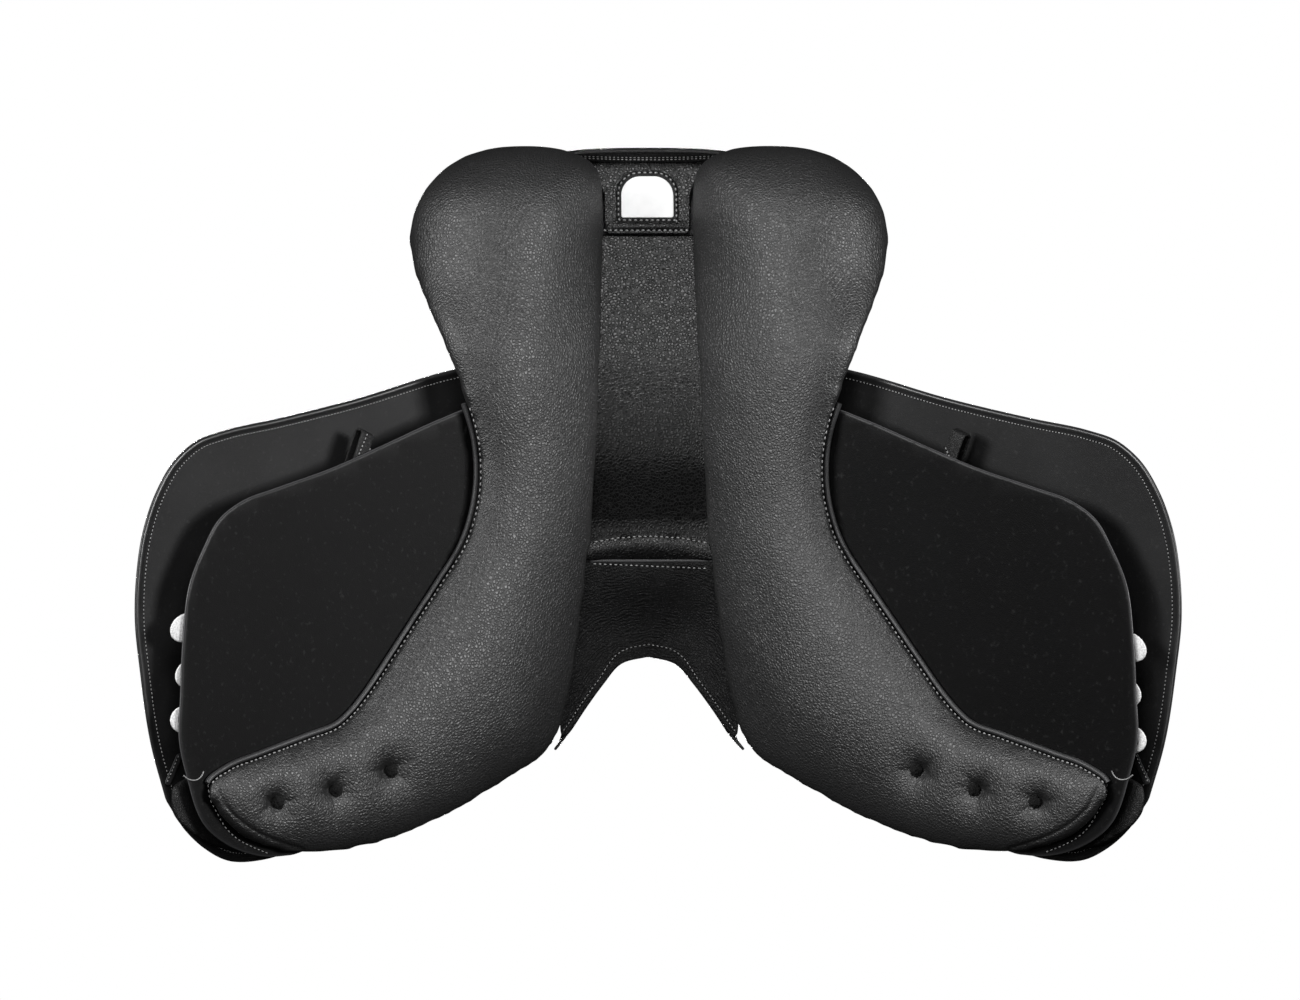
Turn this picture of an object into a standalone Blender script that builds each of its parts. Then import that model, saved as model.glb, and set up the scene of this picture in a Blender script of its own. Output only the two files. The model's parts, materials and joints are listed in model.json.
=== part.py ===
"""All-purpose saddle, seat up, with flaps, skirts and girth straps that lift.

Run with: blender --background --python part.py

+Z is up, the pommel points to -Y and the cantle to +Y. The rider's left is +X.
Z = 0 is the level at which the panels bear on the back, under the waist.
Sizes here are in millimetres; a mesh is scaled to metres when it is made.
Heights of the leathers are counted up from one common slope, the flap bed, so that the layers
stay parallel: sweat flap, straps, tree, webbing, flap, stirrup bar, skirt.
"""

import math

import bmesh
import bpy
import numpy as np
from mathutils import Vector

MM = 0.001
SIDES = (("left", 1), ("right", -1))

# Clearances
GAP = 0.3
SEAM = 0.4

# Bed: the surface over the panels on which everything is built
CHANNEL_HEIGHT = 42.0
REAR_LIFT = 40.0
SPREAD_START = 60.0
SPREAD_BLEND = 15.0
FLAP_SLOPE = 0.70
FLAP_CURVE = 0.0003
REAR_SLOPE = 0.30
BLEND_START_Y = 62.0
BLEND_END_Y = 170.0
STEEPNESS = 1.28

# Pommel arch over the withers
ARCH_RISE = 18.0
ARCH_HALF_WIDTH = 75.0
ARCH_BACK_Y = -92.0
ARCH_FULL_Y = -150.0
POMMEL_HEAD_Y = -173.5
POMMEL_HEAD_SWEEP = 40.0
POMMEL_HEAD_HEIGHT = 97.0
POMMEL_SWELL = 4.0
POMMEL_STATIONS = 8
LINING_STATIONS = 10

# Leathers and webbing
SWEAT_FLAP_THICKNESS = 3.5
STRAP_THICKNESS = 3.2
FLAP_THICKNESS = 3.5
SKIRT_THICKNESS = 3.0
LINING_THICKNESS = 2.5
FACING_THICKNESS = 2.5
COVER_THICKNESS = 2.2
WEB_THICKNESS = 1.9
FLAP_STANDOFF = 34.0

# Tree
TREE_WALL = 8.0
RAIL_EDGE = 112.0
HEAD_PLATE_THICKNESS = 5.0

# Girth straps and their webbing
STRAP_WIDTH = 25.0
STRAP_HINGE = 128.0
POINT_STRAP_HINGE = 160.0
STRAP_TIP = 388.0
STRAP_TIP_ROUND = 13.0
STRAP_ROOTS_Y = (-88.0, -124.0, -200.0)
STRAP_TIPS_Y = (-149.0, -186.0, -222.0)
WEB_WIDTH = 27.0

# Bend lines of the flap and the skirt
FLAP_HINGE = 170.0
SKIRT_HINGE = 92.0
SKIRT_DROP_START = 128.0

# Stirrup bar
BAR_Y = -106.0
BAR_LENGTH = 88.0
BAR_PLATE_WIDTH = 20.0
BAR_PLATE_THICKNESS = 3.0
BAR_ROD_WIDTH = 9.0
BAR_ROD_THICKNESS = 6.0
BAR_SLOT = 8.0
CATCH_LENGTH = 11.0
RIVET_RADIUS = 3.4
RIVET_HEIGHT = 1.6
BAR_ROOM = 30.5

# Front dee
DEE_Y = -214.0
DEE_BAR_AT = 101.0
DEE_WIDTH = 20.0
DEE_DROP = 19.0
DEE_WIRE = 1.8
CHAPE_WIDTH = 11.0
CHAPE_THICKNESS = 2.0
CHAPE_TAIL = 12.0

# Keepers
KEEPER_WIDTH = 13.0
KEEPER_WALL = 2.0
STRAP_KEEPER_LENGTH = 54.0
STRAP_KEEPER_HEIGHT = 11.0
STRAP_KEEPER_AT = (234.5, -7.0)
STRAP_KEEPER_TURN = -23.0
LEATHER_KEEPER_LENGTH = 50.0
LEATHER_KEEPER_HEIGHT = 11.0
LEATHER_KEEPER_AT = (252.0, -62.0)
LEATHER_KEEPER_TURN = 12.0

# Blocks under the flap
KNEE_BLOCK_DEPTH = 16.0
THIGH_BLOCK_DEPTH = 12.0

# Panel
PANEL_EDGE = 1.6
PANEL_CROWN = 3.0
TUFT_DEPTH = 13.0
TUFT_SPREAD = 7.0
PANEL_WELT_RADIUS = 2.2

# Seat edge
WELT_RADIUS = 1.6
FOAM_INSET = 4.2
FOAM_LIFT = 1.3
FOOT_CLEARANCE = 1.5

# Label on the rear gusset
LABEL_WIDTH = 42.0
LABEL_HEIGHT = 33.0
LABEL_BORDER = 4.0
LABEL_THICKNESS = 0.8
SURROUND_THICKNESS = 1.5
LABEL_Y = 187.0

# Inner edge of the panel from the rear lobe along the gullet and round the front edge, and its
# outer edge from the lobe down the welt to the bottom front corner. Points with the same place in
# the two lists face each other across the panel.
PANEL_INNER = ((96, 246), (62, 241), (38, 228), (35, 205), (35, 170), (36, 125), (37, 80), (39, 40),
               (41, 0), (44, -45), (47, -90), (52, -130), (58, -170), (65, -210), (76, -241),
               (114, -265), (165, -293), (228, -316), (284, -321), (322, -312), (343, -297),
               (352, -286))
PANEL_OUTER = ((120, 245), (152, 236), (178, 214), (191, 190), (193, 160), (184, 124), (169, 89),
               (151, 48), (139, 6), (139, -35), (150, -73), (170, -105), (190, -135), (210, -165),
               (230, -194), (240, -206), (251, -216), (277, -226), (316, -240), (342, -250),
               (356, -261), (357, -273))
PANEL_THICKNESS = ((0, 3), (1, 42), (2, 62), (3, 73), (4, 72), (5, 56), (6, 43), (7, 37), (8, 35),
                   (9, 34), (14, 33), (16, 32), (17, 31), (18, 29), (19, 25), (20, 18), (21, 4))
TUFTS = ((16, 0.52), (17, 0.54), (18, 0.55))

# Half outlines of the leathers, from above, and the seat's half width along its length
SWEAT_REAR = ((96, 33), (120, 36), (147, 31), (167, 26), (215, 3), (257, -12), (304, -27), (329, -36),
              (348, -50), (362, -75), (372, -100), (378, -146), (380, -190), (381, -226),
              (375, -254), (358, -297), (338, -312), (310, -320), (289, -319))
SWEAT_FRONT = ((289, -319), (240, -303), (200, -287), (150, -260), (115, -238), (96, -215))
FLAP_ROOT_X = max(85, ARCH_HALF_WIDTH + 10)
FLAP_REAR = ((90, 66), (120, 73), (158, 66), (238, 43), (302, 28), (345, 19), (365, 12), (384, -4),
             (398, -27), (409, -58), (415, -97), (416, -130), (412, -170), (403, -230),
             (391, -274))
FLAP_FRONT = ((391, -274), (374, -300), (360, -313), (342, -323), (311, -323), (280, -313),
              (230, -298), (180, -280), (140, -258), (110, -239), (FLAP_ROOT_X, -212))
FLAP_INNER = ((FLAP_ROOT_X, -212), (FLAP_ROOT_X, -60), (90, -20), (90, 66))
SEAT_HALF = ((50, -172), (57, -165), (61, -150), (66, -120), (74, -80), (79, -40), (87, 0),
             (104, 40), (128, 80), (149, 118), (160, 152), (158, 180), (145, 205), (118, 225),
             (72, 238), (22, 243))
SKIRT_FRONT_LINE = ((52, -175), (85, -190), (120, -198), (150, -188), (164, -160))
SKIRT_REAR_LINE = ((164, -160), (165, -110), (164, -60), (155, -25), (132, -3), (108, 6), (89.5, 8))
KNEE_BLOCK = ((205, -264), (232, -250), (290, -246), (345, -250), (386, -262), (386, -284),
              (368, -303), (345, -314), (312, -313), (270, -302), (230, -288), (208, -277))
THIGH_BLOCK = ((243, -42), (290, -52), (332, -66), (340, -82), (326, -92), (285, -84), (246, -68))

# The arch's edge and the head plate's: share of the arch's half width, and place along the saddle
ARCH_LINE = ((0, -165), (0.29, -171), (0.48, -187), (0.67, -206), (0.84, -225), (1, -240))
PLATE_FRONT = ((0, -162), (0.29, -166.5), (0.48, -180), (0.67, -198.5), (0.84, -212.5), (1, -219),
               (1.33, -222))
PLATE_REAR = ((0, -138.6), (0.4, -138.6), (0.8, -145), (1, -160), (1.33, -178))
PLATE_STATIONS = (0, 0.16, 0.32, 0.48, 0.67, 0.83, 1, 1.2)
PLATE_POINT = (-216, -184)
PLATE_POINT_TAPER = 9.6

# Heights along the length
SEAT_CENTRE = ((-172, POMMEL_HEAD_HEIGHT + 3), (-165, POMMEL_HEAD_HEIGHT + 15), (-150, 119),
               (-125, 119), (-90, 109), (-50, 96), (0, 86), (40, 84), (80, 88), (120, 97), (160, 111),
               (200, 131), (225, 145), (243, 153))
SEAT_SHOULDER = ((-172, 4), (-150, 11), (-60, 10), (20, 10), (100, 14), (200, 14), (232, 9), (243, 3))
RIM_REAR = ((40, 80), (80, 86), (120, 95), (160, 107), (190, 118), (215, 129), (232, 138), (243, 143))
CANTLE_RISE = ((-400, 0), (110, 0), (160, 3), (200, 16), (232, 34))
TREE_HALF = ((-138, RAIL_EDGE), (10, RAIL_EDGE), (34, 83), (60, 78), (76, 83), (95, 108), (120, 132),
             (160, 146), (190, 143), (215, 122), (228, 90))
TREE_ROWS = (-30, 10, 22, 34, 66, 84, 105, 130, 155, 180, 205)


def ease(low, high, value):
    """0 at low, 1 at high and level at both."""
    share = min(max((value - low) / (high - low), 0.0), 1.0)
    return share * share * (3 - 2 * share)


def hermite(start, end, leave, arrive, share):
    """One span of a smooth curve, with its directions at both ends."""
    return ((2 * share**3 - 3 * share**2 + 1) * start + (share**3 - 2 * share**2 + share) * leave
            + (3 * share**2 - 2 * share**3) * end + (share**3 - share**2) * arrive)


def graph(knots):
    """A smooth height over one coordinate, through (coordinate, height) knots in rising order."""
    at = np.array([knot[0] for knot in knots], float)
    height = np.array([knot[1] for knot in knots], float)
    steps = np.diff(height) / np.diff(at)
    turns = [0.0 if low * high <= 0 else 2 * low * high / (low + high)
             for low, high in zip(steps, steps[1:])]
    slope = np.array([steps[0], *turns, steps[-1]])

    def value(where):
        where = min(max(where, at[0]), at[-1])
        i = min(int(np.searchsorted(at, where, side="right")) - 1, len(at) - 2)
        span = at[i + 1] - at[i]
        share = (where - at[i]) / span
        return float(hermite(height[i], height[i + 1], span * slope[i], span * slope[i + 1], share))

    return value


def curve(points):
    """A smooth curve through points; it takes a point's number, with fractions in between."""
    points = np.array(points, float)
    run = np.concatenate([[0.0], np.cumsum(np.linalg.norm(np.diff(points, axis=0), axis=1))])
    slope = np.gradient(points, run, axis=0)

    def place(number):
        i = min(max(int(number), 0), len(points) - 2)
        span = run[i + 1] - run[i]
        return hermite(points[i], points[i + 1], span * slope[i], span * slope[i + 1], number - i)

    return place


def smooth(points, steps=3):
    """Points along a smooth curve, with so many steps between neighbours."""
    place = curve(points)
    return [tuple(place(n / steps)) for n in range((len(points) - 1) * steps + 1)]


def outline(*chains):
    """One closed outline from chains that meet at their ends."""
    ring = []
    for chain in chains:
        for point in chain:
            if not ring or math.dist(ring[-1], point) > 0.05:
                ring.append(tuple(point))
    if math.dist(ring[0], ring[-1]) < 0.05:
        ring.pop()
    return ring


# The bed and the layers on it

def spread(across):
    """How far out on the slope a point is, with the turn at the top rounded."""
    out = across - SPREAD_START
    return (math.hypot(out, SPREAD_BLEND) + out) / 2


def bed_curve(across):
    out = spread(across)
    return CHANNEL_HEIGHT - FLAP_SLOPE * out - FLAP_CURVE * out * out


BREAKS = sorted({0, 15, 30, 45, 60, 75, 90, RAIL_EDGE, SKIRT_DROP_START, 150, FLAP_HINGE, 200, 230, 260,
                 290, 320, 350, 380, 410, 440})
BED_HEIGHTS = [bed_curve(across) for across in BREAKS]


def flap_bed(x):
    """Height of the common slope under the flaps, bent only at BREAKS."""
    return float(np.interp(abs(x), BREAKS, BED_HEIGHTS))


def panel_top(x, y):
    """The panels' upper face: the flap bed in front, flatter and higher under the cantle."""
    share = ease(BLEND_START_Y, BLEND_END_Y, y)
    rear = CHANNEL_HEIGHT + REAR_LIFT - REAR_SLOPE * spread(abs(x))
    return (1 - share) * flap_bed(x) + share * rear


def arch_lift(x, y):
    """How far the pommel arch stands above the panels' upper face."""
    across = max(0.0, 1 - (x / ARCH_HALF_WIDTH) ** 2)
    return ARCH_RISE * across * (1 - ease(ARCH_FULL_Y, ARCH_BACK_Y, y))


def tree_bed(x, y):
    return panel_top(x, y) + arch_lift(x, y) + cantle_rise(y)


cantle_rise = graph(CANTLE_RISE)
tree_half = graph(TREE_HALF)
seat_centre = graph(SEAT_CENTRE)
seat_shoulder = graph(SEAT_SHOULDER)

SWEAT_LOW = SEAM
SWEAT_TOP = SWEAT_LOW + STEEPNESS * SWEAT_FLAP_THICKNESS
STRAP_LOW = SWEAT_TOP + SEAM
STRAP_TOP = STRAP_LOW + STEEPNESS * STRAP_THICKNESS
TREE_LOW = SWEAT_TOP + SEAM
TREE_TOP = TREE_LOW + TREE_WALL
WEB_LOW = TREE_TOP + 2 * GAP
WEB_TOP = WEB_LOW + WEB_THICKNESS
ROOT_LOW = WEB_TOP + GAP
ROOT_TOP = ROOT_LOW + STEEPNESS * FLAP_THICKNESS
FLAP_TOP = FLAP_STANDOFF + STEEPNESS * FLAP_THICKNESS
SKIRT_LOW = ROOT_TOP + BAR_ROOM


def flap_low(x):
    return flap_bed(x) + float(np.interp(abs(x), [RAIL_EDGE, FLAP_HINGE], [ROOT_LOW, FLAP_STANDOFF]))


def flap_top(x):
    return flap_low(x) + STEEPNESS * FLAP_THICKNESS


def skirt_low(x):
    ends = [SKIRT_LOW, FLAP_TOP + SEAM]
    return flap_bed(x) + float(np.interp(abs(x), [SKIRT_DROP_START, FLAP_HINGE], ends))


def skirt_top(x):
    return skirt_low(x) + STEEPNESS * SKIRT_THICKNESS


def above_bed(height):
    return lambda x: flap_bed(x) + height


seat_line = curve(SEAT_HALF)
half_width = graph([(y, x) for x, y in SEAT_HALF[:12]])


def side_rim(y):
    """Lower edge of the seat's side where it lies on the skirt."""
    return skirt_top(half_width(y) - COVER_THICKNESS) + SEAM


rim_height = graph([(y, side_rim(y) + GAP) for y in range(-172, 1, 4)] + list(RIM_REAR))


# Mesh makers

def finish(name, bm, material, origin=(0, 0, 0)):
    """Turn a mesh in millimetres into an object in metres with its origin where it is wanted."""
    bmesh.ops.recalc_face_normals(bm, faces=bm.faces)
    centre = Vector(origin)
    for vert in bm.verts:
        vert.co = (vert.co - centre) * MM
    mesh = bpy.data.meshes.new(name)
    bm.to_mesh(mesh)
    bm.free()
    mesh.materials.append(material)
    obj = bpy.data.objects.new(name, mesh)
    obj.location = centre * MM
    bpy.context.collection.objects.link(obj)
    return obj


def loft(loops, closed=False):
    """Skin a row of closed loops; the ends are filled unless the row itself closes."""
    bm = bmesh.new()
    rows = [[bm.verts.new(point) for point in loop] for loop in loops]
    pairs = list(zip(rows, rows[1:]))
    if closed:
        pairs.append((rows[-1], rows[0]))
    for low, high in pairs:
        for i in range(len(low)):
            j = (i + 1) % len(low)
            bm.faces.new((low[i], low[j], high[j], high[i]))
    if not closed:
        bm.faces.new(rows[0])
        bm.faces.new(rows[-1])
    return bm


def sheet(ring, low, top):
    """A flat outline bent over the breaks of the bed, between two heights over x."""
    bm = bmesh.new()
    bm.faces.new([bm.verts.new((x, y, 0)) for x, y in ring])
    reach = [x for x, y in ring]
    for line in BREAKS:
        for cut in {line, -line}:
            if min(reach) < cut < max(reach):
                bmesh.ops.bisect_plane(bm, geom=bm.verts[:] + bm.edges[:] + bm.faces[:], dist=0.001,
                                       plane_co=(cut, 0, 0), plane_no=(1, 0, 0))
    faces = bm.faces[:]
    rim = [edge for edge in bm.edges if len(edge.link_faces) == 1]
    lower = bm.verts[:]
    upper = {vert: bm.verts.new((vert.co.x, vert.co.y, top(vert.co.x))) for vert in lower}
    for face in faces:
        bm.faces.new([upper[vert] for vert in reversed(face.verts)])
    for edge in rim:
        start, end = edge.verts
        bm.faces.new((start, end, upper[end], upper[start]))
    for vert in lower:
        vert.co.z = low(vert.co.x)
    return bm


def clip(ring, line, keep_outer):
    """The part of an outline beyond x = line, or inside it."""
    sign = 1 if keep_outer else -1
    kept = []
    for (x0, y0), (x1, y1) in zip(ring, ring[1:] + ring[:1]):
        if sign * (x0 - line) >= 0:
            kept.append((x0, y0))
        if (x0 - line) * (x1 - line) < 0:
            kept.append((line, y0 + (line - x0) / (x1 - x0) * (y1 - y0)))
    return kept


def mirrored(ring, side):
    return [(side * x, y) for x, y in ring]


def tube(path, radius, sides=8, closed=False, up=(0, 0, 1)):
    """A round cord along a path."""
    points = [Vector(point) for point in path]
    loops = []
    for i, point in enumerate(points):
        before = points[i - 1] if i or closed else point
        after = points[(i + 1) % len(points)] if i + 1 < len(points) or closed else point
        along = (after - before).normalized()
        sideways = along.cross(Vector(up)).normalized()
        over = sideways.cross(along)
        loops.append([point + radius * (math.cos(turn) * sideways + math.sin(turn) * over)
                      for turn in [2 * math.pi * k / sides for k in range(sides)]])
    return loft(loops, closed)


class Slope:
    """A place on the flap: u runs down the slope, v towards the cantle, w straight off the leather."""

    def __init__(self, side, across, y, height):
        i = max(k for k in range(len(BREAKS)) if BREAKS[k] < across)
        fall = height(BREAKS[i + 1] - 0.01) - height(BREAKS[i] + 0.01)
        down = Vector((BREAKS[i + 1] - BREAKS[i] - 0.02, 0, fall)).normalized()
        self.origin = Vector((side * across, y, height(across)))
        self.u = Vector((side * down.x, 0, down.z))
        self.v = Vector((0, 1, 0))
        self.w = Vector((-side * down.z, 0, down.x))

    def turned(self, degrees):
        turn = math.radians(degrees)
        u, v = self.u, self.v
        self.u = math.cos(turn) * u + math.sin(turn) * v
        self.v = math.cos(turn) * v - math.sin(turn) * u
        return self

    def point(self, u, v, w):
        return self.origin + u * self.u + v * self.v + w * self.w


def extrude_across(place, profile, start, end):
    """A profile in u and w, carried along v."""
    return loft([[place.point(u, v, w) for u, w in profile] for v in (start, end)])


def extrude_off(place, ring, start, end):
    """An outline in u and v, carried off the leather."""
    return loft([[place.point(u, v, w) for u, v in ring] for w in (start, end)])


def extrude_down(place, profile, start, end):
    """A profile in v and w, carried down the slope."""
    return loft([[place.point(u, v, w) for v, w in profile] for u in (start, end)])


def rounded(width, height, radius, steps=3):
    """A rectangle about its centre with round corners."""
    ring = []
    for corner in range(4):
        centre_x = (width / 2 - radius) * (1, -1, -1, 1)[corner]
        centre_y = (height / 2 - radius) * (1, 1, -1, -1)[corner]
        for step in range(steps + 1):
            turn = math.pi / 2 * (corner + step / steps)
            ring.append((centre_x + radius * math.cos(turn), centre_y + radius * math.sin(turn)))
    return ring


def circle(radius, sides, centre=(0, 0)):
    return [(centre[0] + radius * math.cos(2 * math.pi * k / sides),
             centre[1] + radius * math.sin(2 * math.pi * k / sides)) for k in range(sides)]


def fuse(obj, pieces):
    """Join solids to an object with Boolean unions, applied, and remove the loose solids."""
    for piece in pieces:
        union = obj.modifiers.new(piece.name, "BOOLEAN")
        union.operation = "UNION"
        union.solver = "EXACT"
        union.object = piece
    bpy.context.view_layer.update()
    result = bpy.data.meshes.new_from_object(obj.evaluated_get(bpy.context.evaluated_depsgraph_get()))
    obj.modifiers.clear()
    obj.data = result
    for piece in pieces:
        bpy.data.objects.remove(piece)
    return obj


def material(name, colour, roughness, metallic=0.0):
    made = bpy.data.materials.new(name)
    made.use_nodes = True
    shader = made.node_tree.nodes["Principled BSDF"]
    shader.inputs["Base Color"].default_value = (*colour, 1)
    shader.inputs["Roughness"].default_value = roughness
    shader.inputs["Metallic"].default_value = metallic
    return made


# Panels

def panel_thickness_at(station, across, x, y):
    """Depth of the stuffing: crowned between the edges and drawn in at the sewn tufts."""
    off_centre = abs(2 * across - 1)
    crown = math.sqrt(max(0.0, 1 - off_centre**PANEL_CROWN))
    depth = PANEL_EDGE + panel_depth(station) * crown
    for centre in TUFT_CENTRES:
        away = math.dist(centre, (x, y))
        depth -= TUFT_DEPTH * math.exp(-away * away / (2 * TUFT_SPREAD**2))
    return depth


panel_inner = curve(PANEL_INNER)
panel_outer = curve(PANEL_OUTER)
panel_depth = graph(PANEL_THICKNESS)


def panel_point(station, across):
    start, end = panel_inner(station), panel_outer(station)
    return tuple(start + (end - start) * across)


TUFT_CENTRES = [panel_point(station, across) for station, across in TUFTS]


def panel(name, side, leather):
    stations = [0, 0.2, 0.5, 1, 1.5, 2, 2.5] + [3 + 0.75 * k for k in range(16)]
    for station, _ in TUFTS:
        stations += [station + step for step in (-0.36, -0.22, -0.1, 0, 0.1, 0.22, 0.36)]
    stations += [14.9, 15.3, 18.7, 19, 19.4, 19.8, 20.2, 20.6, 20.85, 21]
    stations = sorted({round(s, 3) for s in stations if s < 15 or s > 15.2})
    under = (0, 0.025, 0.07, 0.14, 0.24, 0.34, 0.42, 0.48, 0.54, 0.60, 0.68, 0.78, 0.87, 0.94, 0.98, 1)
    over = (1, 0.7, 0.4, 0.15, 0)
    loops = []
    for station in stations:
        loop = []
        for across in under:
            x, y = panel_point(station, across)
            loop.append((side * x, y, panel_top(x, y) - panel_thickness_at(station, across, x, y)))
        for across in over:
            x, y = panel_point(station, across)
            loop.append((side * x, y, panel_top(x, y)))
        loops.append(loop)
    return finish(name, loft(loops), leather)


def panel_welt(name, side, leather):
    """Piping along the panel's edge on the sweat flap, from the waist to the bottom corner."""
    path = []
    for k in range(27):
        station = 7.6 + k * 0.5
        x, y = panel_outer(station)
        ahead = panel_outer(station + 0.05) - panel_outer(station - 0.05)
        out = np.array((-ahead[1], ahead[0])) / np.linalg.norm(ahead)
        x, y = np.array((x, y)) + out * (PANEL_WELT_RADIUS + 2 * SEAM)
        path.append((side * x, y, flap_bed(x) - PANEL_WELT_RADIUS * STEEPNESS - GAP))
    return finish(name, tube(path, PANEL_WELT_RADIUS, 6), leather)


# Gullet, arch and rear gusset

def gullet_lining(leather):
    """The strip over the horse's spine, from the arch to the rear gusset."""
    loops = []
    for y in [-87, -40, 10, 55, 70, 85, 100, 115, 130, 145, 160, 173]:
        low = [(x, y, panel_top(x, y) + arch_lift(x, y) + 4 * SEAM)
               for x in (-58, -45, -30, 0, 30, 45, 58)]
        high = [(x, y, z + LINING_THICKNESS) for x, y, z in reversed(low)]
        loops.append(low + high)
    return finish("gullet_lining", loft(loops), leather)


def arch_graph(line, *ends):
    """A smooth place along the saddle, over the distance from its middle."""
    return graph([(share * ARCH_HALF_WIDTH, y) for share, y in line] + list(ends))


arch_front = arch_graph(ARCH_LINE)
FRONT_WEB = STRAP_ROOTS_Y[1]
REAR_WEB = STRAP_ROOTS_Y[0]
HEAD_ROWS = (FRONT_WEB - WEB_WIDTH / 2, -130, FRONT_WEB, -117, FRONT_WEB + WEB_WIDTH / 2,
             REAR_WEB - WEB_WIDTH / 2, -93, REAR_WEB, -81, REAR_WEB + WEB_WIDTH / 2)
TREE_ACROSS = (0, 15, 30, 45, 60, 75, 90)


def tree_row(half):
    """Places across the tree or the padding, on the same lines wherever it is wide enough."""
    count = len(TREE_ACROSS)
    right = [min(x, half - 1.5 * (count - k)) for k, x in enumerate(TREE_ACROSS)] + [half]
    return [-x for x in reversed(right[1:])] + right


def pommel_lining(leather):
    """Grain leather under the pommel, from the gullet lining to the arch's edge."""
    loops = []
    for station in range(-LINING_STATIONS, LINING_STATIONS + 1):
        x = ARCH_HALF_WIDTH * station / LINING_STATIONS
        rows = [arch_front(abs(x)), *[y for y in HEAD_ROWS if y < ARCH_BACK_Y - 1], ARCH_BACK_Y - 0.5]
        low = [(x, y, panel_top(x, y) + arch_lift(x, y) + SEAM) for y in rows]
        high = [(x, y, z + LINING_THICKNESS) for x, y, z in reversed(low)]
        loops.append(low + high)
    return finish("pommel_lining", loft(loops), leather)


def gullet_welt(leather):
    """A rolled band that covers the seam between gullet lining and pommel lining."""
    y = (ARCH_BACK_Y - 87.5) / 2
    path = []
    for x in (-46, -36, -24, -12, 0, 12, 24, 36, 46):
        path.append((x, y, panel_top(x, y) + arch_lift(x, y) + SEAM + 1.2))
    return finish("gullet_welt", tube(path, 1.9, 8), leather)


GUSSET_FRONT_Y = 173.6
GUSSET_REAR_Y = 231.0
GUSSET_FRONT_Z = CHANNEL_HEIGHT + REAR_LIFT - 4
GUSSET_REAR_Z = GUSSET_FRONT_Z + 20


def gusset_height(y):
    share = (y - GUSSET_FRONT_Y) / (GUSSET_REAR_Y - GUSSET_FRONT_Y)
    return GUSSET_FRONT_Z + (GUSSET_REAR_Z - GUSSET_FRONT_Z) * share


def rear_gusset(leather):
    """Leather that closes the panels' channel behind; it rises towards the cantle."""
    loops = []
    for y in (GUSSET_FRONT_Y, GUSSET_REAR_Y):
        z = gusset_height(y)
        low = [(x, y, z) for x in (-34, 34)]
        loops.append(low + [(x, y, z + LINING_THICKNESS) for x, y, z in reversed(low)])
    return finish("rear_gusset", loft(loops), leather)


def arched_plate(name, width, height, foot_y, drop, thickness, finish_material):
    """A plate with a straight foot and a round top, lying under the rear gusset."""
    radius = 0.36 * width
    ring = [(-width / 2, 0), (width / 2, 0)]
    for step in range(7):
        turn = math.pi / 2 * step / 6
        ring.append((width / 2 - radius + radius * math.cos(turn),
                     height - radius + radius * math.sin(turn)))
    ring += [(-x, y) for x, y in reversed(ring[2:])]
    loops = []
    for depth in (drop, drop + thickness):
        loops.append([(x, foot_y + y, gusset_height(foot_y + y) - depth) for x, y in ring])
    return finish(name, loft(loops), finish_material)


# Seat

def seat_place(number, inset):
    """Half width and y of the seat's outline at a point number, drawn in by an inset."""
    here = seat_line(number)
    ahead = seat_line(number + 0.02) - seat_line(max(number - 0.02, 0))
    ahead = ahead / np.linalg.norm(ahead)
    x, y = here + inset * np.array((-ahead[1], ahead[0]))
    return float(x), float(y)


SEAT_STATIONS = [0, 0.5, 1, 1.5, 2, 2.5, 3, 3.5, 4, 5, 6, 6.6, 7.2, 7.8, 8.4, 9, 9.6, 10.2, 10.8, 11.4,
                 12, 12.5, 13, 13.4, 13.8, 14.2, 14.8]
ACROSS_SEAT = (-1, -0.985, -0.93, -0.80, -0.58, -0.30, 0, 0.30, 0.58, 0.80, 0.93, 0.985, 1)


def seat_height(across, y):
    """Top of the seat: rolled over the rim, dipped along the middle."""
    rim = rim_height(y)
    roll = math.sqrt(max(0.0, 1 - abs(across) ** 6))
    dish = seat_centre(y) - rim - seat_shoulder(y)
    return rim + seat_shoulder(y) * roll + dish * (1 - across * across)


def seat_row(number, inset, drop):
    half, y = seat_place(number, inset)
    outer_y = seat_line(number)[1]
    row = []
    for across in ACROSS_SEAT:
        roll = math.sqrt(max(0.0, 1 - abs(across) ** 6))
        row.append((across * half, y, seat_height(across, outer_y) - drop * roll))
    return row


def hood(outer, inner):
    """A shell between two skins that share a front edge and a rim, closed behind."""
    bm = bmesh.new()
    skins = [[[bm.verts.new(point) for point in row] for row in rows] for rows in (outer, inner)]
    for rows in skins:
        for low, high in zip(rows, rows[1:]):
            for i in range(len(low) - 1):
                bm.faces.new((low[i], low[i + 1], high[i + 1], high[i]))
        bm.faces.new(rows[-1])
    out, into = skins
    for i in range(len(out[0]) - 1):
        bm.faces.new((out[0][i], out[0][i + 1], into[0][i + 1], into[0][i]))
    for edge in (0, -1):
        for k in range(len(into) - 1):
            bm.faces.new((out[k][edge], out[k + 1][edge], into[k + 1][edge], into[k][edge]))
    bm.faces.new((out[-2][0], out[-1][0], out[-1][-1], out[-2][-1], into[-1][-1], into[-1][0]))
    return bm


def seat_cover(leather):
    outer = [seat_row(number, 0, 0) for number in SEAT_STATIONS]
    inner = [seat_row(number, COVER_THICKNESS, COVER_THICKNESS) for number in SEAT_STATIONS[:-1]]
    return finish("seat_cover", hood(outer, inner), leather)


def foam_floor(x, y):
    """What the padding lies on: the webbing over the tree and, beside it, the flap's root."""
    if abs(x) > 86 and y < 84:
        return flap_top(x) + FOAM_LIFT
    return tree_bed(x, y) + WEB_TOP + FOAM_LIFT


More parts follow.
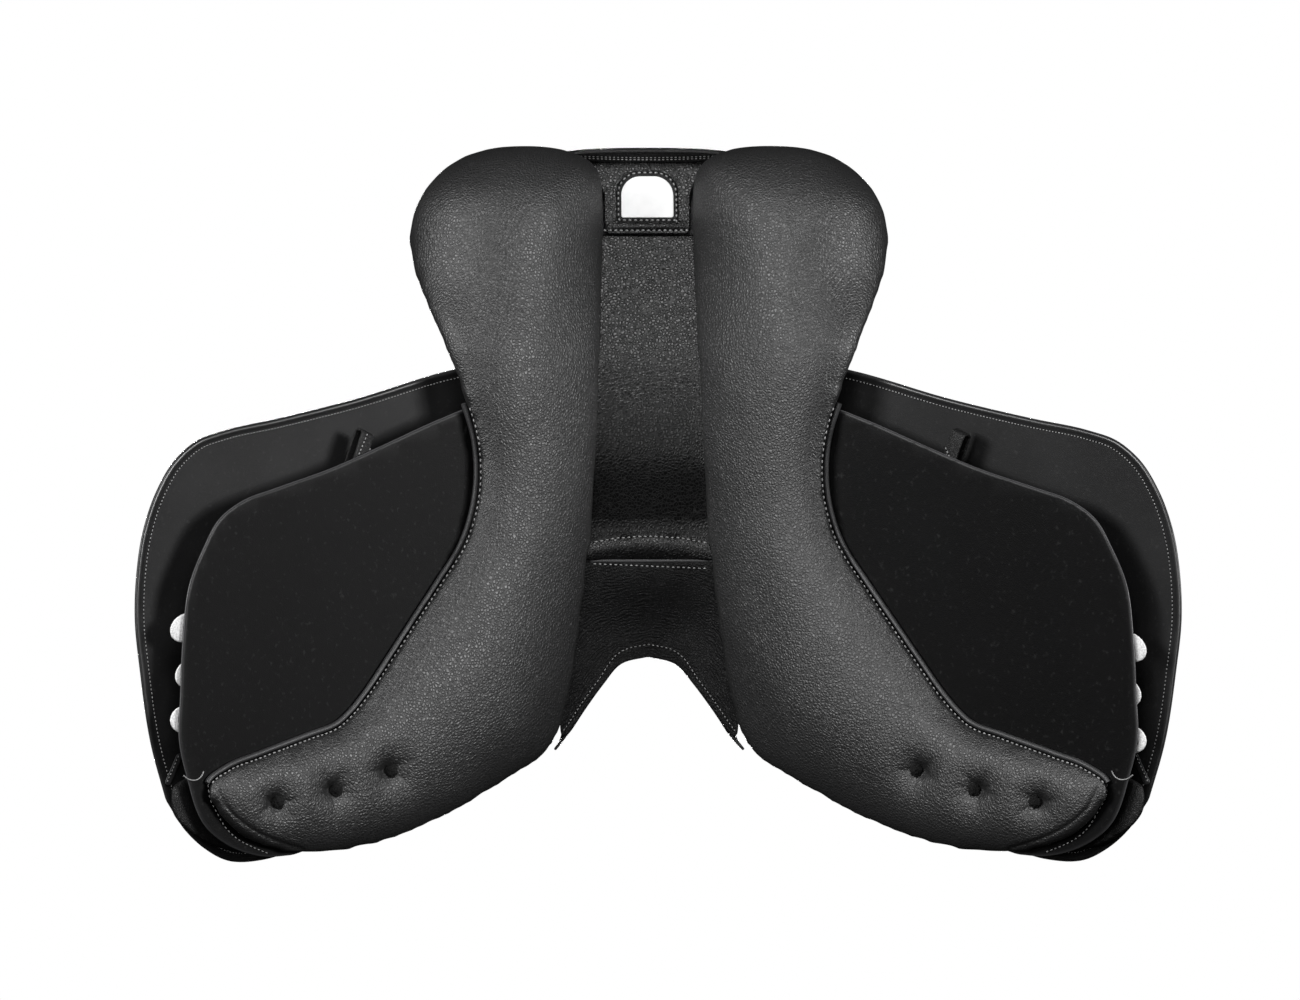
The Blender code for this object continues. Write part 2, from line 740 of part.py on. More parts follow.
def seat_foam(foam):
    """Padding between the tree and the cover."""
    loops = []
    for number in SEAT_STATIONS[1:-4]:
        upper = [(x, y, z - GAP - 1.5 * ease(190, 225, y))
                 for x, y, z in seat_row(number, FOAM_INSET, COVER_THICKNESS + 2 * GAP)]
        half, y, rim = upper[-1]
        inside = [min(x, half - 1.5 * (6 - k)) for k, x in enumerate((0, 30, 45, 60, 85.4, 86.6))]
        floor = [(x, y, min(foam_floor(x, y), rim - 2.0)) for x in [*inside, half]]
        lower = list(reversed(floor)) + [(-x, y, z) for x, y, z in floor[1:]]
        loops.append(upper + lower)
    return finish("seat_foam", loft(loops), foam)


def rim_path(step=0.5):
    """The seat's rim from the skirt's rear end round the cantle to the other skirt."""
    numbers = [6.2 + step * k for k in range(int(8.6 / step) + 1)]
    right = [seat_line(n) for n in numbers]
    return [(x, y) for x, y in right] + [(-x, y) for x, y in reversed(right)]


def seat_welt(leather):
    path = rim_path()
    path = [(x, y, rim_height(rim[1]) - WELT_RADIUS - 3 * GAP)
            for (x, y), rim in zip(drawn_in(path, WELT_RADIUS), path)]
    return finish("seat_welt", tube(path, WELT_RADIUS, 8), leather)


def drawn_in(path, inset):
    """A path moved towards the saddle's middle."""
    moved = []
    for i, (x, y) in enumerate(path):
        x0, y0 = path[max(i - 1, 0)]
        x1, y1 = path[min(i + 1, len(path) - 1)]
        length = math.hypot(x1 - x0, y1 - y0)
        moved.append((x - inset * (y1 - y0) / length, y + inset * (x1 - x0) / length))
    return moved


def facing_foot(x, y):
    """What the cantle facing stands on: the flap's root in front, the panels behind."""
    foot = panel_top(x, y) + FOOT_CLEARANCE
    if y < 92:
        foot = max(foot, flap_top(x) + FOOT_CLEARANCE)
    return foot


def cantle_facing(leather):
    """The side and rear leather under the welt, a little swollen."""
    path = rim_path()
    loops = []
    shares = (0, 0.35, 0.7, 1)
    skins = []
    for inset in (0, FACING_THICKNESS):
        skin = []
        for share in shares:
            swell = 1.5 * math.sin(math.pi * share)
            skin.append(drawn_in(path, inset - swell))
        skins.append(skin)
    for i in range(len(path)):
        loop = []
        for skin, order in ((skins[0], range(4)), (skins[1], reversed(range(4)))):
            for k in order:
                x, y = skin[k][i]
                top = rim_height(path[i][1]) - 2 * WELT_RADIUS - 5 * GAP
                loop.append((x, y, top + (facing_foot(x, y) - top) * shares[k]))
        loops.append(loop)
    return finish("cantle_facing", loft(loops), leather)


def pommel_facing(leather):
    """Front leather from the arch's edge up to the seat."""
    feet, heads = [], []
    for station in range(-POMMEL_STATIONS, POMMEL_STATIONS + 1):
        share_out = abs(station) / POMMEL_STATIONS
        x = ARCH_HALF_WIDTH * station / POMMEL_STATIONS
        front = arch_front(abs(x))
        foot = Vector((x, front, panel_top(x, front) + arch_lift(x, ARCH_FULL_Y) + SEAM))
        foot.z += LINING_THICKNESS + FOOT_CLEARANCE + 2 * GAP
        lean = ease(0.53, 1, share_out)
        head_z = (1 - lean) * POMMEL_HEAD_HEIGHT + lean * (skirt_low(ARCH_HALF_WIDTH) - FOOT_CLEARANCE)
        head_x = x * (1 - 0.1 * ease(0, 0.8, share_out))
        feet.append(foot)
        heads.append(Vector((head_x, POMMEL_HEAD_Y - POMMEL_HEAD_SWEEP * lean, head_z)))
    loops = []
    swells = ((0, 0), (0.3, 0.9), (0.65, 1), (1, 0))
    for i, (foot, head) in enumerate(zip(feet, heads)):
        along = feet[min(i + 1, len(feet) - 1)] - feet[max(i - 1, 0)]
        behind = Vector((-along.y, along.x, 0)).normalized()
        front = [foot.lerp(head, share) - behind * POMMEL_SWELL * swell for share, swell in swells]
        loops.append(front + [point + behind * FACING_THICKNESS for point in reversed(front)])
    return finish("pommel_facing", loft(loops), leather)


# Tree, head plate, webbing

def tree_shell(plastic):
    """The moulded tree: a waisted shell with its rails bent down to carry the stirrup bars."""
    loops = []
    for y in [TREE_HALF[0][0], *HEAD_ROWS, *TREE_ROWS, TREE_HALF[-1][0]]:
        low = [(x, y, tree_bed(x, y) + TREE_LOW) for x in tree_row(tree_half(y))]
        high = [(x, y, z + TREE_WALL) for x, y, z in reversed(low)]
        loops.append(low + high)
    return finish("tree_shell", loft(loops), plastic)


def head_plate(steel):
    """Steel gullet plate: an arch whose points run down both sides of the withers."""
    point_end = POINT_STRAP_HINGE - SEAM
    front = arch_graph(PLATE_FRONT, (point_end, PLATE_POINT[0]))
    rear = arch_graph(PLATE_REAR, (point_end, PLATE_POINT[1]))
    across = [share * ARCH_HALF_WIDTH for share in PLATE_STATIONS]
    across += [RAIL_EDGE, SKIRT_DROP_START, point_end - PLATE_POINT_TAPER, point_end]
    across = [-x for x in reversed(across[1:])] + across
    loops = []
    for x in across:
        low = [(x, y, panel_top(x, y) + arch_lift(x, y) + TREE_LOW)
               for y in (front(abs(x)), (front(abs(x)) + rear(abs(x))) / 2, rear(abs(x)))]
        high = [(x, y, z + HEAD_PLATE_THICKNESS) for x, y, z in reversed(low)]
        loops.append(low + high)
    return finish("head_plate", loft(loops), steel)


def girth_web(name, centre_y, fabric):
    """Webbing over the tree, down to the fold where a girth strap hangs on each side."""
    rows = [y for y in HEAD_ROWS if abs(y - centre_y) <= WEB_WIDTH / 2]
    return finish(name, loft([web_section(y) for y in rows]), fabric)


def web_section(y):
    across = [*TREE_ACROSS, RAIL_EDGE]
    lows = [(x, tree_bed(x, y) + WEB_LOW) for x in across]
    lows += [(RAIL_EDGE + GAP + 0.7, flap_bed(RAIL_EDGE + 1) + WEB_LOW - 0.4),
             (RAIL_EDGE + GAP + 0.7, flap_bed(RAIL_EDGE + 1) + STRAP_LOW + 1.6),
             (RAIL_EDGE + 4, flap_bed(RAIL_EDGE + 4) + STRAP_LOW),
             (STRAP_HINGE - GAP, flap_bed(STRAP_HINGE - GAP) + STRAP_LOW)]
    highs = [(x, tree_bed(x, y) + WEB_TOP) for x in across]
    highs += [(RAIL_EDGE + GAP + 2.9, flap_bed(RAIL_EDGE + 2.9) + WEB_TOP - 0.6),
              (RAIL_EDGE + GAP + 2.9, flap_bed(RAIL_EDGE + 2.9) + STRAP_LOW + 3.8),
              (RAIL_EDGE + 5, flap_bed(RAIL_EDGE + 5) + STRAP_LOW + 2.4),
              (STRAP_HINGE - GAP, flap_bed(STRAP_HINGE - GAP) + STRAP_LOW + 2.4)]
    full_low = [(-x, z) for x, z in reversed(lows[1:])] + lows
    full_high = [(-x, z) for x, z in reversed(highs[1:])] + highs
    return [(x, y, z) for x, z in full_low + list(reversed(full_high))]


# Leathers of one side

def strap_outline(root_y, tip_y, hinge):
    """A girth strap with a rounded tip, leaning forward to the girth."""
    lean = (tip_y - root_y) / (STRAP_TIP - hinge)
    half = STRAP_WIDTH / 2 * math.hypot(1, lean)
    shoulder = STRAP_TIP - STRAP_TIP_ROUND
    ring = [(hinge, root_y + half), (hinge, root_y - half)]
    for step in range(9):
        turn = math.pi * (step / 8 - 0.5)
        x = shoulder + STRAP_TIP_ROUND * math.cos(turn)
        ring.append((x, root_y + lean * (x - hinge) + half * math.sin(turn)))
    return ring


def girth_strap(name, side, number, leather):
    hinge = POINT_STRAP_HINGE if number == 3 else STRAP_HINGE
    root_y = STRAP_ROOTS_Y[number - 1]
    ring = mirrored(strap_outline(root_y, STRAP_TIPS_Y[number - 1], hinge), side)
    origin = (side * hinge, root_y, flap_bed(hinge) + STRAP_TOP)
    return finish(name, sheet(ring, above_bed(STRAP_LOW), above_bed(STRAP_TOP)), leather, origin)


def sweat_flap(name, side, leather):
    ring = outline(smooth(SWEAT_REAR, 2), smooth(SWEAT_FRONT, 2))
    return finish(name, sheet(mirrored(ring, side), above_bed(SWEAT_LOW), above_bed(SWEAT_TOP)), leather)


def flap_ring():
    return outline(smooth(FLAP_REAR, 2), smooth(FLAP_FRONT, 2), FLAP_INNER)


def flap_root(name, side, leather):
    ring = mirrored(clip(flap_ring(), FLAP_HINGE - GAP, False), side)
    return finish(name, sheet(ring, flap_low, flap_top), leather)


def flap(name, side, leather):
    ring = mirrored(clip(flap_ring(), FLAP_HINGE, True), side)
    origin = (side * FLAP_HINGE, 0, flap_top(FLAP_HINGE))
    return finish(name, sheet(ring, flap_low, flap_top), leather, origin)


def block(name, side, ring, depth, foam):
    """A foam block stitched to the underside of the flap."""
    low = above_bed(FLAP_STANDOFF - GAP - STEEPNESS * depth)
    origin = (side * FLAP_HINGE, 0, flap_top(FLAP_HINGE))
    top = above_bed(FLAP_STANDOFF - GAP)
    made = sheet(mirrored(outline(smooth(list(ring) + [ring[0]], 2)), side), low, top)
    return finish(name, made, foam, origin)


def skirt_ring():
    inner = [(half_width(y) - COVER_THICKNESS, y) for y in (8, -15, -40, -80, -120, -150, -158, -165)]
    return outline(inner, smooth(SKIRT_FRONT_LINE, 3), smooth(SKIRT_REAR_LINE, 3))


def skirt_root(name, side, leather):
    ring = mirrored(clip(skirt_ring(), SKIRT_HINGE - GAP, False), side)
    return finish(name, sheet(ring, skirt_low, skirt_top), leather)


def skirt(name, side, leather):
    ring = mirrored(clip(skirt_ring(), SKIRT_HINGE, True), side)
    origin = (side * SKIRT_HINGE, 0, skirt_top(SKIRT_HINGE))
    return finish(name, sheet(ring, skirt_low, skirt_top), leather, origin)


# Stirrup bar and its catch

ROD_LOW = GAP + BAR_PLATE_THICKNESS + BAR_SLOT
ROD_TOP = ROD_LOW + BAR_ROD_THICKNESS


def bar_place(side):
    return Slope(side, 101.0, BAR_Y, flap_top)


def stirrup_bar(name, side, steel):
    """Forged bar: a riveted plate, a neck at the front and a rod that is open behind."""
    place = bar_place(side)
    half = BAR_LENGTH / 2
    plate = extrude_off(place, rounded(BAR_PLATE_WIDTH, BAR_LENGTH, 6), GAP, GAP + BAR_PLATE_THICKNESS)
    obj = finish(name, plate, steel)
    neck = [(-half + 1, GAP + 0.4), (-half + 9, GAP + 0.4), (-half + 13, GAP + 3),
            (-half + 14, ROD_LOW - 2), (-half + 16, ROD_LOW), (half, ROD_LOW), (half, ROD_TOP),
            (-half + 8, ROD_TOP), (-half + 2.5, ROD_TOP - 2.5), (-half + 1, ROD_TOP - 7)]
    rod = finish(name + "_rod", extrude_down(place, neck, -BAR_ROD_WIDTH / 2, BAR_ROD_WIDTH / 2), steel)
    heads = [rod]
    for v in (-half * 0.35, half * 0.25, half * 0.8):
        top = GAP + BAR_PLATE_THICKNESS
        loops = [[place.point(u, w, h) for u, w in circle(r, 8, (0, v))]
                 for r, h in ((RIVET_RADIUS, top - 0.5), (RIVET_RADIUS, top + RIVET_HEIGHT * 0.5),
                              (RIVET_RADIUS * 0.6, top + RIVET_HEIGHT))]
        heads.append(finish(f"{name}_rivet_{len(heads)}", loft(loops), steel))
    return fuse(obj, heads)


def catch_axis(side):
    place = bar_place(side)
    return place.point(0, BAR_LENGTH / 2 + 3.2, (ROD_LOW + ROD_TOP) / 2)


def stirrup_catch(name, side, steel):
    """Thumb catch behind the rod: it turns up to close the bar."""
    place = bar_place(side)
    start = BAR_LENGTH / 2 + GAP
    middle = (ROD_LOW + ROD_TOP) / 2
    half = BAR_ROD_THICKNESS / 2 - 0.2
    profile = []
    for step in range(7):
        turn = math.pi / 2 + math.pi * step / 6
        profile.append((start + half + half * math.cos(turn), middle + half * math.sin(turn)))
    profile += [(start + CATCH_LENGTH - 1.5, middle - half * 0.8), (start + CATCH_LENGTH, middle),
                (start + CATCH_LENGTH - 1.5, middle + half * 0.8)]
    bm = extrude_down(place, profile, -BAR_ROD_WIDTH / 2 + 0.5, BAR_ROD_WIDTH / 2 - 0.5)
    return finish(name, bm, steel, catch_axis(side))


# Dee ring, chape and keepers

def dee_place(side):
    return Slope(side, DEE_BAR_AT, DEE_Y, flap_top)


DEE_LIFT = GAP + CHAPE_THICKNESS + GAP + DEE_WIRE


def dee_ring(name, side, steel):
    place = dee_place(side)
    path = []
    half = DEE_WIDTH / 2
    for v in (-half * 0.75, -half * 0.25, half * 0.25, half * 0.75):
        path.append((0, v))
    path += [(1.6, half * 0.98)]
    for step in range(9):
        turn = math.pi / 2 - math.pi * step / 8
        path.append((DEE_DROP - half + half * math.cos(turn), half * math.sin(turn)))
    path += [(1.6, -half * 0.98)]
    points = [place.point(u, v, DEE_LIFT) for u, v in path]
    return finish(name, tube(points, DEE_WIRE, 8, True, place.w), steel, place.point(0, 0, DEE_LIFT))


def dee_chape(name, side, leather):
    """A strip folded round the dee's straight bar, with both tails towards the skirt."""
    place = dee_place(side)
    inner = DEE_WIRE + GAP
    outer = inner + CHAPE_THICKNESS
    profile = []
    turns = [math.pi * (0.5 - step / 8) for step in range(9)]
    profile += [(-CHAPE_TAIL, DEE_LIFT + outer)]
    profile += [(outer * math.cos(t), DEE_LIFT + outer * math.sin(t)) for t in turns]
    profile += [(-CHAPE_TAIL, DEE_LIFT - outer), (-CHAPE_TAIL, DEE_LIFT - 0.15),
                (-inner - 2.4, DEE_LIFT - 0.15), (-inner - 1.4, DEE_LIFT - inner)]
    profile += [(inner * math.cos(t), DEE_LIFT + inner * math.sin(t)) for t in reversed(turns)]
    profile += [(-inner - 1.4, DEE_LIFT + inner), (-inner - 2.4, DEE_LIFT + 0.15),
                (-CHAPE_TAIL, DEE_LIFT + 0.15)]
    bm = extrude_across(place, profile, -CHAPE_WIDTH / 2, CHAPE_WIDTH / 2)
    return finish(name, bm, leather)


def keeper(name, place, length, height, leather, origin=(0, 0, 0)):
    """A flat loop of leather that a strap passes through."""
    bm = bmesh.new()
    rings = []
    for grow, radius in ((0, 4.4), (-KEEPER_WALL, 2.4)):
        ring = rounded(length + 2 * grow, height + 2 * grow, radius)
        rings.append([(v, w + GAP + height / 2) for v, w in ring])
    sides = []
    for u in (-KEEPER_WIDTH / 2, KEEPER_WIDTH / 2):
        sides.append([[bm.verts.new(place.point(u, v, w)) for v, w in ring] for ring in rings])
    (outer0, inner0), (outer1, inner1) = sides
    count = len(outer0)
    for i in range(count):
        j = (i + 1) % count
        bm.faces.new((outer0[i], outer0[j], outer1[j], outer1[i]))
        bm.faces.new((inner0[i], inner0[j], inner1[j], inner1[i]))
        bm.faces.new((outer0[i], outer0[j], inner0[j], inner0[i]))
        bm.faces.new((outer1[i], outer1[j], inner1[j], inner1[i]))
    return finish(name, bm, leather, origin)


def seat_nail(name, side, brass):
    place = Slope(side, 80.0, -180.0, skirt_top)
    loops = [[place.point(u, v, w) for u, v in circle(r, 12)]
             for r, w in ((6, GAP), (6, GAP + 0.8), (4.4, GAP + 2.2), (1.8, GAP + 2.9))]
    return finish(name, loft(loops), brass)


def build():
    for obj in list(bpy.data.objects):
        bpy.data.objects.remove(obj)

    grain = material("grain_leather", (0.018, 0.018, 0.019), 0.48)
    smooth_leather = material("flap_leather", (0.022, 0.022, 0.023), 0.42)
    matt = material("sweat_leather", (0.010, 0.010, 0.011), 0.62)
    lining = material("lining_leather", (0.014, 0.014, 0.015), 0.55)
    seat = material("seat_leather", (0.020, 0.020, 0.021), 0.40)
    web = material("webbing", (0.55, 0.53, 0.48), 0.85)
    foam = material("foam", (0.42, 0.41, 0.38), 0.95)
    plastic = material("tree_plastic", (0.05, 0.05, 0.05), 0.5)
    steel = material("steel", (0.60, 0.60, 0.61), 0.28, 1.0)
    label = material("label_white", (0.85, 0.85, 0.85), 0.5)

    tree_shell(plastic)
    head_plate(steel)
    girth_web("girth_web_rear", STRAP_ROOTS_Y[0], web)
    girth_web("girth_web_front", STRAP_ROOTS_Y[1], web)
    seat_foam(foam)
    seat_cover(seat)
    seat_welt(seat)
    cantle_facing(lining)
    pommel_facing(lining)
    pommel_lining(lining)
    gullet_lining(grain)
    gullet_welt(smooth_leather)
    rear_gusset(grain)
    arched_plate("label_surround", LABEL_WIDTH + 2 * LABEL_BORDER, LABEL_HEIGHT + 2 * LABEL_BORDER,
                 LABEL_Y - LABEL_BORDER, GAP, SURROUND_THICKNESS, lining)
    arched_plate("blank_label", LABEL_WIDTH, LABEL_HEIGHT, LABEL_Y, 2 * GAP + SURROUND_THICKNESS,
                 LABEL_THICKNESS, label)

    for word, side in SIDES:
        panel("panel_" + word, side, grain)
        panel_welt("panel_welt_" + word, side, smooth_leather)
        sweat_flap("sweat_flap_" + word, side, matt)
        flap_root("flap_root_" + word, side, smooth_leather)
        flap("flap_" + word, side, smooth_leather)
        block("knee_block_" + word, side, KNEE_BLOCK, KNEE_BLOCK_DEPTH, lining)
        block("thigh_block_" + word, side, THIGH_BLOCK, THIGH_BLOCK_DEPTH, lining)
        skirt_root("skirt_root_" + word, side, seat)
        skirt("skirt_" + word, side, seat)
        for number in (1, 2, 3):
            girth_strap(f"girth_strap_{word}_{number}", side, number, matt)
        stirrup_bar("stirrup_bar_" + word, side, steel)
        stirrup_catch("stirrup_catch_" + word, side, steel)
        dee_ring("dee_ring_" + word, side, steel)
        dee_chape("dee_chape_" + word, side, lining)
        strap_at, strap_y = STRAP_KEEPER_AT
        place = Slope(side, strap_at, strap_y, above_bed(SWEAT_TOP)).turned(-STRAP_KEEPER_TURN * side)
        keeper("strap_keeper_" + word, place, STRAP_KEEPER_LENGTH, STRAP_KEEPER_HEIGHT, lining)
        flap_at, flap_y = LEATHER_KEEPER_AT
        place = Slope(side, flap_at, flap_y, flap_top).turned(LEATHER_KEEPER_TURN * side)
        origin = (side * FLAP_HINGE, 0, flap_top(FLAP_HINGE))
        keeper("leather_keeper_" + word, place, LEATHER_KEEPER_LENGTH, LEATHER_KEEPER_HEIGHT, lining, origin)
        seat_nail("seat_nail_" + word, side, steel)


build()
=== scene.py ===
"""Dresses an all-purpose saddle in leather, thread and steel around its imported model.

Sizes are in millimetres until a mesh is made. +Z is up, the pommel points to -Y, and the rider's
left is +X. The camera looks up at the panels, as the photograph does.
"""

import json
import math

import bpy
import numpy as np
from mathutils import Matrix, Vector, noise
from mathutils.bvhtree import BVHTree

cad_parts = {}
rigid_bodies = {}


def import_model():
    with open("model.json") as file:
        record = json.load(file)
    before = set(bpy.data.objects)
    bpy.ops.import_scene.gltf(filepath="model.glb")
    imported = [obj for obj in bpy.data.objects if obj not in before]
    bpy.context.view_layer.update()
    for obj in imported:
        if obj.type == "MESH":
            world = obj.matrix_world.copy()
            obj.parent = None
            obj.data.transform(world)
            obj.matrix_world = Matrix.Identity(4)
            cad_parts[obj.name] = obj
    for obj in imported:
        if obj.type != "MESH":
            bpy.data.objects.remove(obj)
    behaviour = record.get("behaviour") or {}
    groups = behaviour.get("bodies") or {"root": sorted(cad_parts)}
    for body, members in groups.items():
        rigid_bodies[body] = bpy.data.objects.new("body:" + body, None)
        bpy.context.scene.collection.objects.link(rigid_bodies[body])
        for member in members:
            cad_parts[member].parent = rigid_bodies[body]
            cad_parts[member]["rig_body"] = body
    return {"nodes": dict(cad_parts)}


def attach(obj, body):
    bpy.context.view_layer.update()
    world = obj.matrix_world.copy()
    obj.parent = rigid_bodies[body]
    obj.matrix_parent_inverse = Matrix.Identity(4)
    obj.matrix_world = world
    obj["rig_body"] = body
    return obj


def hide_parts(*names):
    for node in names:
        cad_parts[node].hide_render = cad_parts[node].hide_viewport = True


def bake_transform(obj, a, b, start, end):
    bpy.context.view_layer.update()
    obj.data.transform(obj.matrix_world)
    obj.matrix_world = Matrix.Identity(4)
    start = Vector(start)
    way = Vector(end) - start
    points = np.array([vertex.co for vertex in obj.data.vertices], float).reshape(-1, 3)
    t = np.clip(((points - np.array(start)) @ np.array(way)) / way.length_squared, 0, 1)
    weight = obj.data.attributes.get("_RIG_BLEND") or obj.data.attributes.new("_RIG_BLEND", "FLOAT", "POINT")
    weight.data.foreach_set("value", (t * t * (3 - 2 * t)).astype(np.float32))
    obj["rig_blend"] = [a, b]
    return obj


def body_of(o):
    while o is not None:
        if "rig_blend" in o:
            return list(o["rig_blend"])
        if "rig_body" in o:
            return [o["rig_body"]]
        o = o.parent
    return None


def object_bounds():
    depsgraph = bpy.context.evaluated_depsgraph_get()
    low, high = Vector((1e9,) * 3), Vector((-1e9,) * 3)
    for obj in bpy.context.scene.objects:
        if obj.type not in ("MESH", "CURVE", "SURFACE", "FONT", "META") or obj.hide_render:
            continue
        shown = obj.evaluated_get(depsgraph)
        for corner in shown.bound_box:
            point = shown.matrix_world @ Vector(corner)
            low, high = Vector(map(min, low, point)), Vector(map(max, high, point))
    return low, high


bl_info = {
    "name": "All-purpose saddle",
    "version": (1, 0, 0),
    "blender": (4, 5, 0),
    "location": "View3D > Sidebar > Saddle",
    "description": "Dresses an all-purpose saddle in leather, thread and steel",
    "category": "Object",
}

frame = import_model()
CAD_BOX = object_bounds()

MM = 0.001
SIDES = (("left", 1), ("right", -1))

# Sizes, in mm

# The common slope of the leathers and the heights of the layers on it, as in the solids
CHANNEL_HEIGHT = 42.0
REAR_LIFT = 40.0
SWEAT_LOW, SWEAT_TOP = 0.4, 4.88
STRAP_LOW, STRAP_TOP = 5.28, 9.38
ROOT_LOW, FLAP_STANDOFF = 16.08, 34.0
FLAP_RISE = 4.48
SKIRT_LOW, SKIRT_RISE = 51.06, 3.84
RAIL_EDGE, FLAP_HINGE, SKIRT_HINGE, SKIRT_DROP_START = 112.0, 170.0, 92.0, 128.0
# How far a leather bends on each side of its hinge
FLAP_BEND, SKIRT_BEND = (11, 9), (5, 7)

# Outlines, in the same places as the solids' outlines
PANEL_INNER = ((96, 246), (62, 241), (38, 228), (35, 205), (35, 170), (36, 125), (37, 80), (39, 40),
               (41, 0), (44, -45), (47, -90), (52, -130), (58, -170), (65, -210), (76, -241),
               (114, -265), (165, -293), (228, -316), (284, -321), (322, -312), (343, -297),
               (352, -286))
PANEL_OUTER = ((120, 245), (152, 236), (178, 214), (191, 190), (193, 160), (184, 124), (169, 89),
               (151, 48), (139, 6), (139, -35), (150, -73), (170, -105), (190, -135), (210, -165),
               (230, -194), (240, -206), (251, -216), (277, -226), (316, -240), (342, -250),
               (356, -261), (357, -273))
# The stitched corner at the panel's front end, and the end of thread that hangs out beside it
CORNER_SEAM = ((357.6, -261), (356, -272.8), (350.4, -284), (343, -296.5), (334.4, -304.8), (322, -311.8),
               (309.6, -317))
THREAD_END = ((377, -254), (373, -257), (367, -257.6), (363, -255), (361, -251))
# The places of the tufts across the panel, counted from point to point of its outlines, and a tuft's radii
TUFTS = ((16, 0.52), (17, 0.54), (18, 0.55))
TUFT_SIZE = (5.0, 5.2, 3.2)
SWEAT_REAR = ((96, 33), (120, 36), (148, 35), (167, 28), (215, 7), (257, -11), (304, -27), (329, -36),
              (348, -50), (362, -75), (372, -100), (378, -146), (380, -190), (381, -226),
              (375, -254), (358, -297), (338, -312), (310, -320), (289, -319))
SWEAT_FRONT = ((289, -319), (240, -303), (200, -287), (150, -260), (115, -238), (96, -215))
FLAP_REAR = ((90, 66), (120, 73), (158, 66), (238, 43), (302, 28), (345, 19), (365, 12), (384, -4),
             (398, -27), (409, -58), (415, -97), (416, -130), (412, -170), (403, -230),
             (391, -274))
FLAP_FRONT = ((391, -274), (374, -300), (360, -313), (342, -323), (311, -323), (280, -313),
              (230, -298), (180, -280), (140, -258), (110, -239), (85, -212))
FLAP_INNER = ((85, -212), (85, -60), (90, -20), (90, 66))
SKIRT_INNER = ((86, 8), (82, -15), (76.5, -40), (71.8, -80), (63.8, -120), (58.8, -150), (54.8, -165),
               (52, -175))
SKIRT_FRONT_LINE = ((52, -175), (85, -190), (120, -198), (150, -188), (164, -160))
SKIRT_REAR_LINE = ((164, -160), (165, -110), (164, -60), (155, -25), (132, -3), (108, 6), (86, 8))
ARCH_LINE = ((0, -165), (22, -171), (36, -187), (50, -206), (63, -225), (75, -240))
ARCH_HALF, ARCH_RISE = 75.0, 18.0
# The channel's lining, the seam where it meets the lining of the arch, and the gusset behind it
CHANNEL_LINING_HALF, CHANNEL_LINING_FRONT, CHANNEL_LINING_REAR = 58.0, -87.4, 173.0
POMMEL_LINING_REAR = -88.6
GUSSET_FRONT, GUSSET_REAR, GUSSET_LOW, GUSSET_RISE = 173.6, 231.0, 78.0, 20.0
GUSSET_ROW = 176.6
GUSSET_SIDE = ((34.5, 173.8), (35, 206), (42, 222), (50, 231.2), (50, 234.6))
# The strip between the gusset and the foot of the cantle's facing
BAND_FRONT = ((0, 231.4), (22, 231.2), (42, 231.6), (66, 234.6))
BAND_REAR = ((66, 236.4), (44, 238.8), (22, 240.2), (0, 240.4))
# The lining's height along the channel: a climb to the rear, a hollow behind the bars, a slope to the head
CLIMB_START, CLIMB_END, CLIMB_SLOPE = 98.0, 178.0, 0.010675
HOLLOW_PLACE, HOLLOW_DEPTH, HOLLOW_BEND = 20.0, 0.271, 0.0000684
HEAD_START, HEAD_DEPTH, HEAD_SLOPE = -7.4, 0.2197, 0.00405
# The girth straps, front to rear: hinge, root, tip
STRAP_HINGES = (128.0, 128.0, 160.0)
STRAP_ROOTS_Y = (-88.0, -124.0, -200.0)
STRAP_TIPS_Y = (-149.0, -186.0, -222.0)
STRAP_TIP = 388.0
STRAP_WIDTH = 25.0
# How far the tips have been pushed along the flap on each side, and how far their cores stand out
STRAP_SHIFTS = {"left": (10.0, 10.0, 12.0), "right": (-6.5, -6.0, -5.0)}
STRAP_REACH = (388.0, 384.0, 388.0)
CORE_SHOWN = (9.5, 9.5, 5.5)
# Radius of the panels' piping, of the roll in front of the lining and of the welts on the seat
PIPING, GULLET_ROLL, SEAT_WELT = 2.2, 1.5, 1.3
# The two narrow strips at the flap's lower corner: their ends, half their width and their thickness
STRIPS = (((379, -237), (390, -262)), ((375, -262), (381.5, -276)))
STRIP_HALF, STRIP_RISE = 2.6, 2.6
SEAT_SEAM = ((26, -168), (30, -140), (40, -90), (50, -40), (60, 10), (78, 60), (100, 110), (112, 155),
             (104, 190), (84, 215), (70, 230), (62, 238.5))
# How far in from its end the seat is drawn out to its piping, how far it stays short of the piping's outside,
# and where along the cantle this fades out
DRAWN_OVER, DRAWN_SHORT, DRAWN_HALF, DRAWN_FADE = 60, 1.4, 140, 25
# The slope from which a face of the seat counts as its floor, and what its top and its sides grow by
SEAT_FLOOR, TOP_GROWTH, SIDE_GROWTH = -0.45, 1.4, 2.4
# How deep and how wide a welted seam of the seat sinks in
SEAM_DEPTH, SEAM_SPREAD = 1.6, 3.2
KEEPER_PLACE, KEEPER_TURN = (234.5, -7), 23


# Curves and heights

def ease(low, high, value):
    """0 at low, 1 at high and level at both."""
    share = min(max((value - low) / (high - low), 0.0), 1.0)
    return share * share * (3 - 2 * share)


